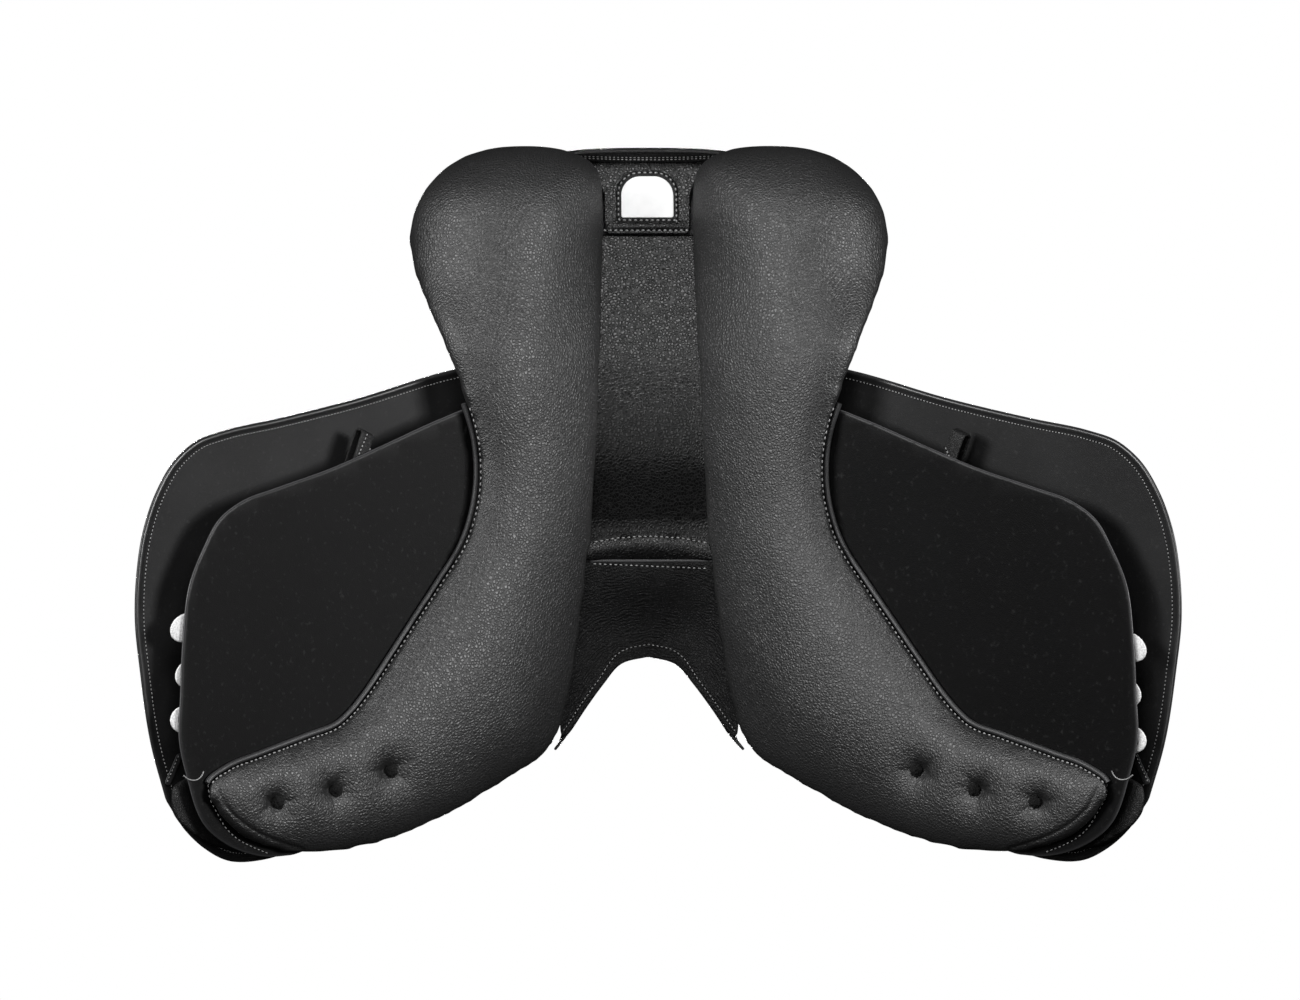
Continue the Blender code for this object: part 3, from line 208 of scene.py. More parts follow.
def curve(points):
    """A smooth curve through points; it takes a point's number, with fractions in between."""
    points = np.array(points, float)
    run = np.concatenate([[0.0], np.cumsum(np.linalg.norm(np.diff(points, axis=0), axis=1))])
    slope = np.gradient(points, run, axis=0)

    def place(number):
        i = min(max(int(number), 0), len(points) - 2)
        span, share = run[i + 1] - run[i], number - i
        return ((2 * share**3 - 3 * share**2 + 1) * points[i] + (3 * share**2 - 2 * share**3) * points[i + 1]
                + ((share**3 - 2 * share**2 + share) * slope[i] + (share**3 - share**2) * slope[i + 1]) * span)

    return place


def smooth(points, steps=6):
    place = curve(points)
    return [tuple(place(n / steps)) for n in range((len(points) - 1) * steps + 1)]


def spaced(points, pitch, closed=False):
    """The same line with its points a set distance apart."""
    points = np.array(points, float)
    if closed:
        points = np.vstack([points, points[:1]])
    run = np.concatenate([[0.0], np.cumsum(np.linalg.norm(np.diff(points, axis=0), axis=1))])
    count = max(int(run[-1] / pitch), 2)
    at = np.linspace(0, run[-1], count + 1)
    if closed:
        at = at[:-1]
    return [tuple(np.interp(at, run, points[:, k])[i] for k in range(points.shape[1])) for i in range(len(at))]


def outline(*chains):
    """One closed outline from chains that meet at their ends."""
    ring = []
    for chain in chains:
        for point in chain:
            if not ring or math.dist(ring[-1], point) > 0.2:
                ring.append(tuple(point))
    if math.dist(ring[0], ring[-1]) < 0.2:
        ring.pop()
    return ring


def mirrored(points, side):
    return [(side * point[0], *point[1:]) for point in points]


def drawn_in(ring, inset, closed=True):
    """A line moved sideways, towards the inside of a ring that runs anticlockwise."""
    moved = []
    count = len(ring)
    for i, point in enumerate(ring):
        before = ring[i - 1] if i or closed else point
        after = ring[(i + 1) % count] if i + 1 < count or closed else point
        along = np.subtract(after[:2], before[:2])
        along = along / max(np.linalg.norm(along), 1e-9)
        moved.append((point[0] - inset * along[1], point[1] + inset * along[0]))
    return moved


def eased_corners(ring, radius):
    """A closed outline whose points lie evenly, with its sharp corners rounded to a radius."""
    co = np.array(ring, float)
    step = np.linalg.norm(co - np.roll(co, 1, axis=0), axis=1).mean()
    for _ in range(60):
        back, front = co - np.roll(co, 1, axis=0), np.roll(co, -1, axis=0) - co
        turn = np.arctan2(np.cross(back, front), (back * front).sum(1))
        sharp = np.abs(turn) > step / radius
        if not sharp.any():
            break
        sharp = sharp | np.roll(sharp, 1) | np.roll(sharp, -1)
        middle = (np.roll(co, 1, axis=0) + np.roll(co, -1, axis=0)) / 2
        co[sharp] = (co[sharp] + middle[sharp]) / 2
    return [tuple(point) for point in co]


def opened(ring):
    """The points of a line that is part of a ring, in order from one end of the part to the other."""
    start = max(range(len(ring)), key=lambda i: math.dist(ring[i], ring[i - 1]))
    return ring[start:] + ring[:start]


def stretch(place, first, last, parts):
    """Points of a curve from first to last, counted in parts of the step between its own points."""
    return [tuple(place(k / parts)) for k in range(first, last)]


def area_of(ring):
    return sum(a[0] * b[1] - b[0] * a[1] for a, b in zip(ring, ring[1:] + ring[:1])) / 2


def anticlockwise(ring):
    return ring if area_of(ring) > 0 else list(reversed(ring))


def spread(across):
    out = across - 60.0
    return (math.hypot(out, 15.0) + out) / 2


def bed(x):
    """Height of the slope under the flaps."""
    out = spread(abs(x))
    return CHANNEL_HEIGHT - 0.7 * out - 0.0003 * out * out


def panel_top(x, y):
    """Height of the panels' upper face, which rises behind the waist."""
    rise = ease(62, 170, y)
    return (1 - rise) * bed(x) + rise * (CHANNEL_HEIGHT + REAR_LIFT - 0.3 * spread(abs(x)))


def arch_lift(x, y):
    """How far the pommel's arch stands above the panels."""
    return ARCH_RISE * max(0.0, 1 - (x / ARCH_HALF) ** 2) * (1 - ease(-150, -92, y))


def flap_low(x):
    return bed(x) + float(np.interp(abs(x), [RAIL_EDGE, FLAP_HINGE], [ROOT_LOW, FLAP_STANDOFF]))


def skirt_low(x):
    ends = [SKIRT_LOW, FLAP_STANDOFF + FLAP_RISE + 0.4]
    return bed(x) + float(np.interp(abs(x), [SKIRT_DROP_START, FLAP_HINGE], ends))


panel_inner = curve(PANEL_INNER)
panel_outer = curve(PANEL_OUTER)


def panel_place(station, across):
    start, end = panel_inner(station), panel_outer(station)
    return tuple(start + (end - start) * across)


# The fold beside the stitched corner at the panel's front end
CORNER_CREASE = smooth(((349, -266), (342, -280), (331, -291), (316, -301), (298, -309), (282, -314)))

FLAP_RING = outline(smooth(FLAP_REAR), smooth(FLAP_FRONT), FLAP_INNER)
SWEAT_RING = outline(smooth(SWEAT_REAR), smooth(SWEAT_FRONT))
SKIRT_RING = outline(smooth(SKIRT_INNER), smooth(SKIRT_FRONT_LINE), smooth(SKIRT_REAR_LINE))


# Handling objects

def deselect():
    if bpy.context.mode != "OBJECT":
        bpy.ops.object.mode_set(mode="OBJECT")
    bpy.ops.object.select_all(action="DESELECT")


def pick(obj):
    """Make one object the only selected and the active one."""
    deselect()
    obj.select_set(True)
    bpy.context.view_layer.objects.active = obj
    return obj


def edit(obj):
    pick(obj)
    bpy.ops.object.mode_set(mode="EDIT")
    bpy.ops.mesh.select_all(action="SELECT")


def leave_edit():
    bpy.ops.object.mode_set(mode="OBJECT")


def named(obj, name):
    obj.name = name
    obj.data.name = name
    return obj


def apply_all(obj):
    pick(obj)
    for modifier in list(obj.modifiers):
        bpy.ops.object.modifier_apply(modifier=modifier.name)
    return obj


def settle(obj):
    """Put an object's place, turn and size into its mesh."""
    pick(obj)
    bpy.ops.object.transform_apply(location=True, rotation=True, scale=True)
    return obj


def outward(obj):
    edit(obj)
    bpy.ops.mesh.normals_make_consistent(inside=False)
    leave_edit()
    return obj


def soft_shade(obj, degrees):
    pick(obj)
    bpy.ops.object.shade_smooth_by_angle(angle=math.radians(degrees))
    return obj


def smooth_shade(obj):
    pick(obj)
    bpy.ops.object.shade_smooth()
    return obj


def subdivide(obj, levels=1):
    surface = obj.modifiers.new("surface", "SUBSURF")
    surface.levels = surface.render_levels = levels
    return apply_all(obj)


def join(name, parts):
    pick(parts[0])
    for part in parts[1:]:
        part.select_set(True)
    if len(parts) > 1:
        bpy.ops.object.join()
    return named(bpy.context.view_layer.objects.active, name)


def get_points(obj):
    co = np.empty(len(obj.data.vertices) * 3)
    obj.data.vertices.foreach_get("co", co)
    return co.reshape(-1, 3)


def set_points(obj, co):
    obj.data.vertices.foreach_set("co", np.asarray(co, float).ravel())
    obj.data.update()


def paint(obj, label, values):
    """Give each point a value that the materials can read."""
    layer = obj.data.attributes.new(label, "FLOAT", "POINT")
    layer.data.foreach_set("value", np.asarray(values, np.float32))


def get_normals(obj):
    normals = np.empty(len(obj.data.vertices) * 3)
    obj.data.vertices.foreach_get("normal", normals)
    return normals.reshape(-1, 3)


def finish(obj, material):
    obj.data.materials.clear()
    obj.data.materials.append(bpy.data.materials[material])
    return obj


def dress(obj, material, body=None, replaces=(), blend=None):
    """Give a finished piece its material, the body it rides on and the node it stands for."""
    if material:
        finish(obj, material)
    if blend:
        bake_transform(obj, *blend)
    else:
        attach(obj, body)
    if replaces:
        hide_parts(*replaces)
    return obj


def bend(body, side, hinge, low, before, after):
    """The bend of a hinged leather: its root stays with the saddle and the rest follows the leaf."""
    start, end = ((side * x * MM, 0, low(hinge) * MM) for x in (hinge - before, hinge + after))
    return "saddle", body, start, end


def node_copy(node, name):
    """A loose copy of a CAD node's mesh with its triangles joined."""
    obj = bpy.data.objects.new(name, frame["nodes"][node].data.copy())
    bpy.context.collection.objects.link(obj)
    obj.data.materials.clear()
    edit(obj)
    bpy.ops.mesh.remove_doubles(threshold=0.00001)
    leave_edit()
    return named(obj, name)


# The turn between two faces from which the edge between them counts as sharp
SHARP = math.radians(40)


def softened(node, name, edge, levels):
    """A smooth copy of a solid: sharp edges rounded over so many mm and faces subdivided."""
    obj = node_copy(node, name)
    edit(obj)
    bpy.ops.mesh.tris_convert_to_quads(face_threshold=SHARP, shape_threshold=math.radians(60))
    leave_edit()
    if edge:
        bevel = obj.modifiers.new("edges", "BEVEL")
        bevel.width = edge * MM
        bevel.segments = 2
        bevel.limit_method = "ANGLE"
        bevel.angle_limit = SHARP
        apply_all(obj)
    if levels:
        subdivide(obj, levels)
    return soft_shade(outward(obj), 60 if levels else 35)


def surface_of(*objs):
    """A function that finds the place on these pieces' surface above or below a flat place, in mm."""
    trees = [BVHTree.FromObject(obj, bpy.context.evaluated_depsgraph_get()) for obj in objs]

    def find(x, y, from_below, lift):
        start, way = (-1.0, 1) if from_below else (1.0, -1)
        best = None
        for tree in trees:
            hit, normal, _, _ = tree.ray_cast(Vector((x * MM, y * MM, start)), Vector((0, 0, way)))
            if hit is not None and (best is None or (hit.z - best[0].z) * way < 0):
                best = (hit, normal)
        if best is None:
            return None
        hit, normal = best
        if normal.z * way > 0:
            normal = -normal
        return tuple((hit + normal * lift * MM) / MM)

    return find


def traced(find, line, from_below, lift):
    """A flat line laid on a surface, without the places where it misses."""
    found = [find(point[0], point[1], from_below, lift) for point in line]
    return [point for point in found if point]


# Making shapes

def flat_outline(name, ring):
    """A flat face with the given outline, from a circle whose corners are moved onto it."""
    deselect()
    bpy.ops.mesh.primitive_circle_add(vertices=len(ring), radius=0.1, fill_type="NGON")
    obj = named(bpy.context.object, name)
    for vert, point in zip(obj.data.vertices, ring):
        vert.co = (point[0] * MM, point[1] * MM, 0)
    return obj


def distance_to(ring, co):
    """Distance in mm from each point of a mesh to a closed outline, seen from above."""
    start = np.array(ring, float)
    end = np.roll(start, -1, axis=0)
    along = end - start
    length = (along**2).sum(1)
    best = np.full(len(co), 1e9)
    place = co[:, :2] / MM
    for a, way, size in zip(start, along, length):
        share = np.clip(((place - a) @ way) / max(size, 1e-9), 0, 1)
        gap = place - a - share[:, None] * way
        best = np.minimum(best, (gap**2).sum(1))
    return np.sqrt(best)


EXTRUDED = 0.01


def leather_sheet(name, ring, low, rise, rim=(0.2, 0.5, 0.8, 1.5), bead=0.0, bead_width=4.5, columns=8.0,
                  rows=14.0, sag=None, step=3.5):
    """A leather with a rounded edge over a slope: low gives its underside over x, rise its thickness.

    A bead is a rolled edge that stands proud on both faces, sag a further height over x and y."""
    ring = eased_corners(anticlockwise(spaced(ring, step, closed=True)), sum(rim) + step)
    obj = flat_outline(name, ring)
    edit(obj)
    for width in rim:
        bpy.ops.mesh.inset(thickness=width * MM)
    xs, ys = [p[0] for p in ring], [p[1] for p in ring]
    for low_edge, high_edge, pitch, axis in ((min(xs), max(xs), columns, 0), (min(ys), max(ys), rows, 1)):
        count = max(int((high_edge - low_edge) / pitch), 1)
        for k in range(1, count):
            bpy.ops.mesh.select_all(action="SELECT")
            place = [0, 0, 0]
            place[axis] = (low_edge + (high_edge - low_edge) * k / count) * MM
            normal = [0, 0, 0]
            normal[axis] = 1
            bpy.ops.mesh.bisect(plane_co=place, plane_no=normal)
    bpy.ops.mesh.select_all(action="SELECT")
    bpy.ops.mesh.extrude_region_move(TRANSFORM_OT_translate={"value": (0, 0, EXTRUDED)})
    leave_edit()
    co = get_points(obj)
    upper = co[:, 2] > EXTRUDED / 2
    edge = distance_to(ring, co)
    rim_share = np.clip(edge / (0.5 * rise), 0, 1)
    half = rise / 2 * np.sqrt(np.clip(1 - (1 - rim_share) ** 2, 0.01, 1))
    if bead:
        half = half + bead * np.clip(np.sin(np.pi * np.clip(edge / bead_width, 0, 1)), 0, 1) * (edge < bead_width)
    middle = np.array([low(abs(x) / MM) for x in co[:, 0]]) + rise / 2
    if sag:
        middle = middle + np.array([sag(abs(x) / MM, y / MM) for x, y in co[:, :2]])
    co[:, 2] = (middle + np.where(upper, half, -half)) * MM
    set_points(obj, co)
    rolled = np.clip(1.3 * np.sin(np.pi * np.clip(edge / bead_width, 0, 1)), 0, 1) * (bead > 0)
    # rim marks a sheet's edge: the materials polish it, and some paint it lighter as a painted highlight
    for label, values in (("rim", np.exp(-edge / 0.8)), ("outer", upper), ("rolled", rolled)):
        paint(obj, label, values)
    return soft_shade(outward(obj), 50)


def line_curve(name, points, radius=None):
    """A curve through points in mm; with a radius, it is a round cord."""
    data = bpy.data.curves.new(name, "CURVE")
    data.dimensions = "3D"
    spline = data.splines.new("POLY")
    spline.points.add(len(points) - 1)
    for point, place in zip(spline.points, points):
        point.co = (place[0] * MM, place[1] * MM, place[2] * MM, 1)
    if radius:
        data.bevel_depth = radius * MM
        data.bevel_resolution = 3
        data.use_fill_caps = True
    obj = bpy.data.objects.new(name, data)
    bpy.context.collection.objects.link(obj)
    return obj


def cord(name, points, radius):
    pick(line_curve(name, points, radius))
    bpy.ops.object.convert(target="MESH")
    return soft_shade(outward(named(bpy.context.object, name)), 60)


def stitches(name, path, pitch=None, width=None):
    """A row of thread: one bead and a near-black bead of painted shade for its needle hole, arrayed and bent along the
    line through the points.
    """
    sizes = bpy.context.scene.saddle_thread
    pitch = pitch or sizes.pitch / MM
    width = width or sizes.width / MM
    line = line_curve(name + "_line", path)
    parts = []
    # The needle hole is a near-black bead: painted shade where the thread goes into the leather
    for at, half, thick, material in ((0.32, 0.28, 0.5, "linen_thread"), (0.80, 0.15, 0.42, "hole_painted_shade")):
        deselect()
        bpy.ops.mesh.primitive_uv_sphere_add(segments=6, ring_count=4, radius=1, rotation=(0, math.pi / 2, 0))
        part = settle(bpy.context.object)
        edit(part)
        bpy.ops.transform.resize(value=(pitch * half * MM, width * thick * MM, width * thick * MM))
        bpy.ops.transform.translate(value=(pitch * at * MM, 0, 0))
        leave_edit()
        parts.append(finish(part, material))
    bead = join(name, parts)
    row = bead.modifiers.new("row", "ARRAY")
    row.fit_type = "FIT_CURVE"
    row.curve = line
    row.use_relative_offset = False
    row.use_constant_offset = True
    row.constant_offset_displace = (pitch * MM, 0, 0)
    bent = bead.modifiers.new("line", "CURVE")
    bent.object = line
    bent.deform_axis = "POS_X"
    apply_all(bead)
    bpy.data.objects.remove(line)
    return smooth_shade(bead)


def sewn(name, find, rows, body):
    """Rows of thread on a surface's underside, as one piece: each has a name, a line, a lift, a pitch, a width."""
    rows = [stitches(label, traced(find, line, True, lift), pitch, width) for label, line, lift, pitch, width in rows]
    return dress(join(name, rows), None, body)


def sewn_through(name, find, line, lift, pitch=None, width=None):
    """The two rows that one seam shows, on the underside and the upper side."""
    return [stitches(f"{name}_{below}", traced(find, line, below, lift), pitch, width) for below in (True, False)]


# Materials

def node(tree, kind, **values):
    made = tree.nodes.new(kind)
    for key, value in values.items():
        setattr(made, key, value)
    return made


def shader_group(name, inputs, outputs):
    """An empty shader group with named inputs and outputs: (name, kind, default)."""
    tree = bpy.data.node_groups.new(name, "ShaderNodeTree")
    for label, kind, default in inputs:
        socket = tree.interface.new_socket(label, in_out="INPUT", socket_type="NodeSocket" + kind)
        if default is not None:
            socket.default_value = default
    for label, kind in outputs:
        tree.interface.new_socket(label, in_out="OUTPUT", socket_type="NodeSocket" + kind)
    return tree, node(tree, "NodeGroupInput"), node(tree, "NodeGroupOutput")


def math_node(tree, operation, first, second=None):
    made = node(tree, "ShaderNodeMath", operation=operation)
    for socket, value in zip(made.inputs, (first, second)):
        if isinstance(value, bpy.types.NodeSocket):
            tree.links.new(value, socket)
        elif value is not None:
            socket.default_value = value
    return made.outputs[0]


def times(tree, first, second):
    return math_node(tree, "MULTIPLY", first, second)


def ranged(tree, value, low, high, to_low=0.0, to_high=1.0):
    """0 below low and 1 above high, or the two other values, with a soft step between."""
    made = node(tree, "ShaderNodeMapRange", interpolation_type="SMOOTHSTEP")
    tree.links.new(value, made.inputs["Value"])
    for label, number in (("From Min", low), ("From Max", high), ("To Min", to_low), ("To Max", to_high)):
        made.inputs[label].default_value = number
    return made.outputs["Result"]


def clouds(tree, vector, scale, detail):
    """A noise texture; its scale is a number or a socket."""
    made = node(tree, "ShaderNodeTexNoise")
    made.inputs["Detail"].default_value = detail
    tree.links.new(vector, made.inputs["Vector"])
    if isinstance(scale, bpy.types.NodeSocket):
        tree.links.new(scale, made.inputs["Scale"])
    else:
        made.inputs["Scale"].default_value = scale
    return made.outputs


def painted(tree, label):
    """The value of one of the mesh's own attributes."""
    return node(tree, "ShaderNodeAttribute", attribute_name=label).outputs["Fac"]


def relief(tree, shader, height, strength, distance):
    """A bump from a height in shares of the distance, which is in metres."""
    bump = node(tree, "ShaderNodeBump")
    bump.inputs["Strength"].default_value = strength
    bump.inputs["Distance"].default_value = distance
    tree.links.new(height, bump.inputs["Height"])
    tree.links.new(bump.outputs["Normal"], shader.inputs["Normal"])


def grain_group():
    """Leather grain: rounded pebbles with creases between them, and softer swells under them."""
    tree, start, end = shader_group(
        "Leather grain",
        [("Vector", "Vector", None), ("Pebble", "Float", 0.0022), ("Warp", "Float", 0.16)],
        [("Height", "Float"), ("Crease", "Float")])
    links = tree.links
    scale = math_node(tree, "DIVIDE", 1.0, start.outputs["Pebble"])
    sway = clouds(tree, start.outputs["Vector"], times(tree, scale, 0.45), 2)
    shift = node(tree, "ShaderNodeVectorMath", operation="SUBTRACT")
    links.new(sway["Color"], shift.inputs[0])
    shift.inputs[1].default_value = (0.5, 0.5, 0.5)
    amount = node(tree, "ShaderNodeVectorMath", operation="SCALE")
    links.new(shift.outputs[0], amount.inputs[0])
    links.new(times(tree, times(tree, start.outputs["Warp"], 4.0), start.outputs["Pebble"]), amount.inputs["Scale"])
    moved = node(tree, "ShaderNodeVectorMath", operation="ADD")
    links.new(start.outputs["Vector"], moved.inputs[0])
    links.new(amount.outputs[0], moved.inputs[1])
    cells = node(tree, "ShaderNodeTexVoronoi", feature="DISTANCE_TO_EDGE")
    links.new(moved.outputs[0], cells.inputs["Vector"])
    links.new(scale, cells.inputs["Scale"])
    pebble = ranged(tree, cells.outputs["Distance"], 0.0, 0.30)
    swell = clouds(tree, start.outputs["Vector"], times(tree, scale, 0.35), 3)
    links.new(math_node(tree, "ADD", times(tree, pebble, 0.8), times(tree, swell["Fac"], 0.7)), end.inputs["Height"])
    links.new(math_node(tree, "SUBTRACT", 1.0, ranged(tree, cells.outputs["Distance"], 0.0, 0.16)),
              end.inputs["Crease"])


def mottle_group():
    """Slow colour variation of a dyed hide: rubbed lighter patches and a little dust."""
    tree, start, end = shader_group(
        "Hide variation", [("Vector", "Vector", None), ("Patch", "Float", 0.06)],
        [("Rubbed", "Float"), ("Dust", "Float")])
    links = tree.links
    scale = math_node(tree, "DIVIDE", 1.0, start.outputs["Patch"])
    patches = clouds(tree, start.outputs["Vector"], scale, 4)
    links.new(ranged(tree, patches["Fac"], 0.35, 0.7), end.inputs["Rubbed"])
    specks = clouds(tree, start.outputs["Vector"], times(tree, scale, 14.0), 5)
    links.new(ranged(tree, specks["Fac"], 0.58, 0.78), end.inputs["Dust"])


def crease_group():
    """Folds of a soft lining leather that is drawn over a curve."""
    tree, start, end = shader_group(
        "Drawn folds", [("Vector", "Vector", None), ("Away", "Float", 0.0), ("Fold", "Float", 0.004)],
        [("Height", "Float")])
    sway = clouds(tree, start.outputs["Vector"], math_node(tree, "DIVIDE", 0.35, start.outputs["Fold"]), 3)
    turns = math_node(tree, "DIVIDE", start.outputs["Away"], start.outputs["Fold"])
    turns = math_node(tree, "ADD", turns, times(tree, sway["Fac"], 3.2))
    wave = math_node(tree, "SINE", times(tree, turns, 2 * math.pi))
    patch = clouds(tree, start.outputs["Vector"], math_node(tree, "DIVIDE", 0.14, start.outputs["Fold"]), 2)
    strength = ranged(tree, patch["Fac"], 0.38, 0.62, 0.15, 1.0)
    tree.links.new(times(tree, math_node(tree, "ADD", wave, 1.0), strength), end.inputs["Height"])


def grouped(tree, group, vector, **values):
    """A node group at work; each of its values is a number or a socket."""
    made = node(tree, "ShaderNodeGroup")
    made.node_tree = group
    tree.links.new(vector, made.inputs["Vector"])
    for label, value in values.items():
        if isinstance(value, bpy.types.NodeSocket):
            tree.links.new(value, made.inputs[label])
        else:
            made.inputs[label].default_value = value
    return made.outputs


def mixed(tree, factor, first, second):
    """A colour mix; each side is a colour or a socket."""
    made = node(tree, "ShaderNodeMix", data_type="RGBA")
    tree.links.new(factor, made.inputs[0])
    for socket, value in ((made.inputs[6], first), (made.inputs[7], second)):
        if isinstance(value, bpy.types.NodeSocket):
            tree.links.new(value, socket)
        else:
            socket.default_value = (*value, 1)
    return made.outputs[2]


def scaled(colour, share):
    return tuple(c * share for c in colour)


def new_material(name):
    material = bpy.data.materials.new(name)
    material.use_nodes = True
    tree = material.node_tree
    return tree, tree.nodes["Principled BSDF"], node(tree, "ShaderNodeTexCoord").outputs["Object"]


# Depth of the grain's relief in metres, the polish on a sheet's edges and the roughness of polish
RELIEF_DEPTH, EDGE_POLISH, COAT_ROUGHNESS = 0.0003, 0.8, 0.24
# The painted shade in a leather's grain creases, how much rougher the creases are, how much dust lies on it and the
# dust's colour
CREASE_PAINTED_SHADE, CREASE_ROUGHNESS, DUST_SHARE, DUST = 0.35, 0.18, 0.12, (0.10, 0.10, 0.10)
# What a sleek leather loses of its grain and of its roughness
SLEEK_GRAIN, SLEEK_ROUGHNESS = 0.75, 0.12


def leather(name, shade, roughness, pebble=0.0022, depth=0.0003, specular=0.5, rubbed=1.35, crease=0.6,
            rim=None, rim_shine=0.25, folds=0.0, fold_size=0.004, bump=0.7, outer_polish=0.0, sleek=None):
    """A dyed leather: shade is its colour, pebble and depth the grain's size in metres.

    The polish lies only on a sheet's outer side and its edges; the side towards the horse stays dull.
    Between the two first places along the saddle in sleek the grain is smoothed out, and it comes back
    from the third to the fourth."""
    groups = bpy.data.node_groups
    tree, shader, where = new_material(name)
    grain = grouped(tree, groups["Leather grain"], where, Pebble=pebble)
    hide = grouped(tree, groups["Hide variation"], where)
    colour = mixed(tree, hide["Rubbed"], shade, scaled(shade, rubbed))
    # Painted shade: the grain's creases are darkened in the colour, as far as crease says
    colour = mixed(tree, times(tree, grain["Crease"], crease), colour, scaled(shade, CREASE_PAINTED_SHADE))
    colour = mixed(tree, times(tree, hide["Dust"], DUST_SHARE), colour, DUST)
    rough = math_node(tree, "ADD", roughness, times(tree, grain["Crease"], CREASE_ROUGHNESS))
    height = times(tree, grain["Height"], depth / RELIEF_DEPTH)
    # Painted highlight: the colour along a sheet's edges is lightened to rim; rim_shine makes the edges smoother
    if rim:
        edge = painted(tree, "rim")
        colour = mixed(tree, edge, colour, rim)
        rough = math_node(tree, "SUBTRACT", rough, times(tree, edge, rim_shine))
    if outer_polish:
        coat = times(tree, painted(tree, "outer"), outer_polish)
        for label in ("rim", "rolled"):
            coat = math_node(tree, "MAXIMUM", coat, times(tree, painted(tree, label), EDGE_POLISH))
        tree.links.new(coat, shader.inputs["Coat Weight"])
        shader.inputs["Coat Roughness"].default_value = COAT_ROUGHNESS
    if sleek:
        place = node(tree, "ShaderNodeSeparateXYZ")
        tree.links.new(where, place.inputs["Vector"])
        front = times(tree, ranged(tree, place.outputs["Y"], *sleek[:2]), ranged(tree, place.outputs["Y"], *sleek[2:]))
        height = times(tree, height, math_node(tree, "SUBTRACT", 1.0, times(tree, front, SLEEK_GRAIN)))
        rough = math_node(tree, "SUBTRACT", rough, times(tree, front, SLEEK_ROUGHNESS))
    if folds:
        drawn = grouped(tree, groups["Drawn folds"], where, Fold=fold_size, Away=painted(tree, "from_arch"))
        height = math_node(tree, "ADD", height, times(tree, drawn["Height"], folds))
    tree.links.new(colour, shader.inputs["Base Color"])
    tree.links.new(rough, shader.inputs["Roughness"])
    shader.inputs["Specular IOR Level"].default_value = specular
    relief(tree, shader, height, bump, RELIEF_DEPTH)


def metal(name, shade, roughness):
    """Steel with fine rubbing marks and duller patches."""
    tree, shader, where = new_material(name)
    hide = grouped(tree, bpy.data.node_groups["Hide variation"], where, Patch=0.012)
    tree.links.new(mixed(tree, hide["Rubbed"], shade, scaled(shade, 0.8)), shader.inputs["Base Color"])
    rough = math_node(tree, "ADD", roughness, times(tree, hide["Dust"], 0.25))
    tree.links.new(rough, shader.inputs["Roughness"])
    shader.inputs["Metallic"].default_value = 1.0


def fibre(name, shade, dark, size, roughness=0.9, depth=0.0003, specular=0.3):
    """Thread, wool, webbing or raw hide: short strands with shadows between them."""
    tree, shader, where = new_material(name)
    strands = clouds(tree, where, 1 / size, 3)["Fac"]
    tree.links.new(mixed(tree, ranged(tree, strands, 0.35, 0.65), dark, shade), shader.inputs["Base Color"])
    shader.inputs["Roughness"].default_value = roughness
    shader.inputs["Specular IOR Level"].default_value = specular
    relief(tree, shader, strands, 0.6, depth)


def make_materials():
    grain_group()
    mottle_group()
    crease_group()
    colours = bpy.context.scene.saddle_colours
    panel, flap, sweat = tuple(colours.panel), tuple(colours.flap), tuple(colours.sweat)
    thread, core = tuple(colours.thread), tuple(colours.core)
    # crease sets how strongly each leather's grain creases are darkened as painted shade
    leather("pebbled_hide", panel, 0.42, pebble=0.0026, depth=0.00036, specular=0.72, bump=0.8, crease=0.55)
    leather("gullet_hide", scaled(panel, 0.3), 0.27, pebble=0.0025, depth=0.00024, specular=0.36,
            bump=0.8, crease=0.4, sleek=(0.015, -0.025, -0.060, -0.053))
    # The rim colours of the flaps and sweat flaps are lighter edges, a painted highlight
    leather("smooth_hide", flap, 0.34, pebble=0.0011, depth=0.00006, specular=0.14, crease=0.2,
            rim=(0.03, 0.03, 0.031), outer_polish=0.5)
    leather("matt_hide", sweat, 0.36, pebble=0.0014, depth=0.00006, specular=0.09, crease=0.2,
            rim=(0.09, 0.09, 0.093), rim_shine=0.2, outer_polish=0.2)
    leather("strap_hide", sweat, 0.5, pebble=0.001, depth=0.0001, specular=0.1, crease=0.2, outer_polish=0.3)
    leather("soft_hide", scaled(panel, 0.6), 0.4, pebble=0.0018, depth=0.0004, specular=0.3)
    leather("drawn_hide", scaled(panel, 0.9), 0.36, pebble=0.0021, depth=0.0004, specular=0.12,
            folds=0.8, fold_size=0.0028, bump=1.0)
    leather("piping_hide", (0.030, 0.030, 0.031), 0.36, pebble=0.0010, depth=0.0001, specular=0.5,
            crease=0.2)
    leather("seat_hide", flap, 0.42, pebble=0.0012, depth=0.00015, specular=0.45, crease=0.25)
    fibre("linen_thread", thread, scaled(thread, 0.45), 0.0006, 0.7)
    # Near-black beads between the stitches: painted shade for the needle holes
    fibre("hole_painted_shade", (0.003, 0.003, 0.003), (0.001, 0.001, 0.001), 0.0006, 0.9, specular=0.1)
    fibre("undyed_hide", core, scaled(core, 0.7), 0.0014, 0.8)
    fibre("wool_knot", (0.010, 0.010, 0.010), (0.002, 0.002, 0.002), 0.0010, 1.0, 0.0008)
    fibre("woven_web", (0.60, 0.58, 0.52), (0.40, 0.38, 0.34), 0.0018)
    fibre("moulded_tree", (0.04, 0.04, 0.042), (0.03, 0.03, 0.032), 0.004, 0.5, 0.0001, 0.4)
    fibre("bare_plate", (0.88, 0.88, 0.88), (0.84, 0.84, 0.84), 0.009, 0.35, 0.00004, 0.5)
    metal("bar_steel", (0.62, 0.62, 0.63), 0.24)


# Pieces

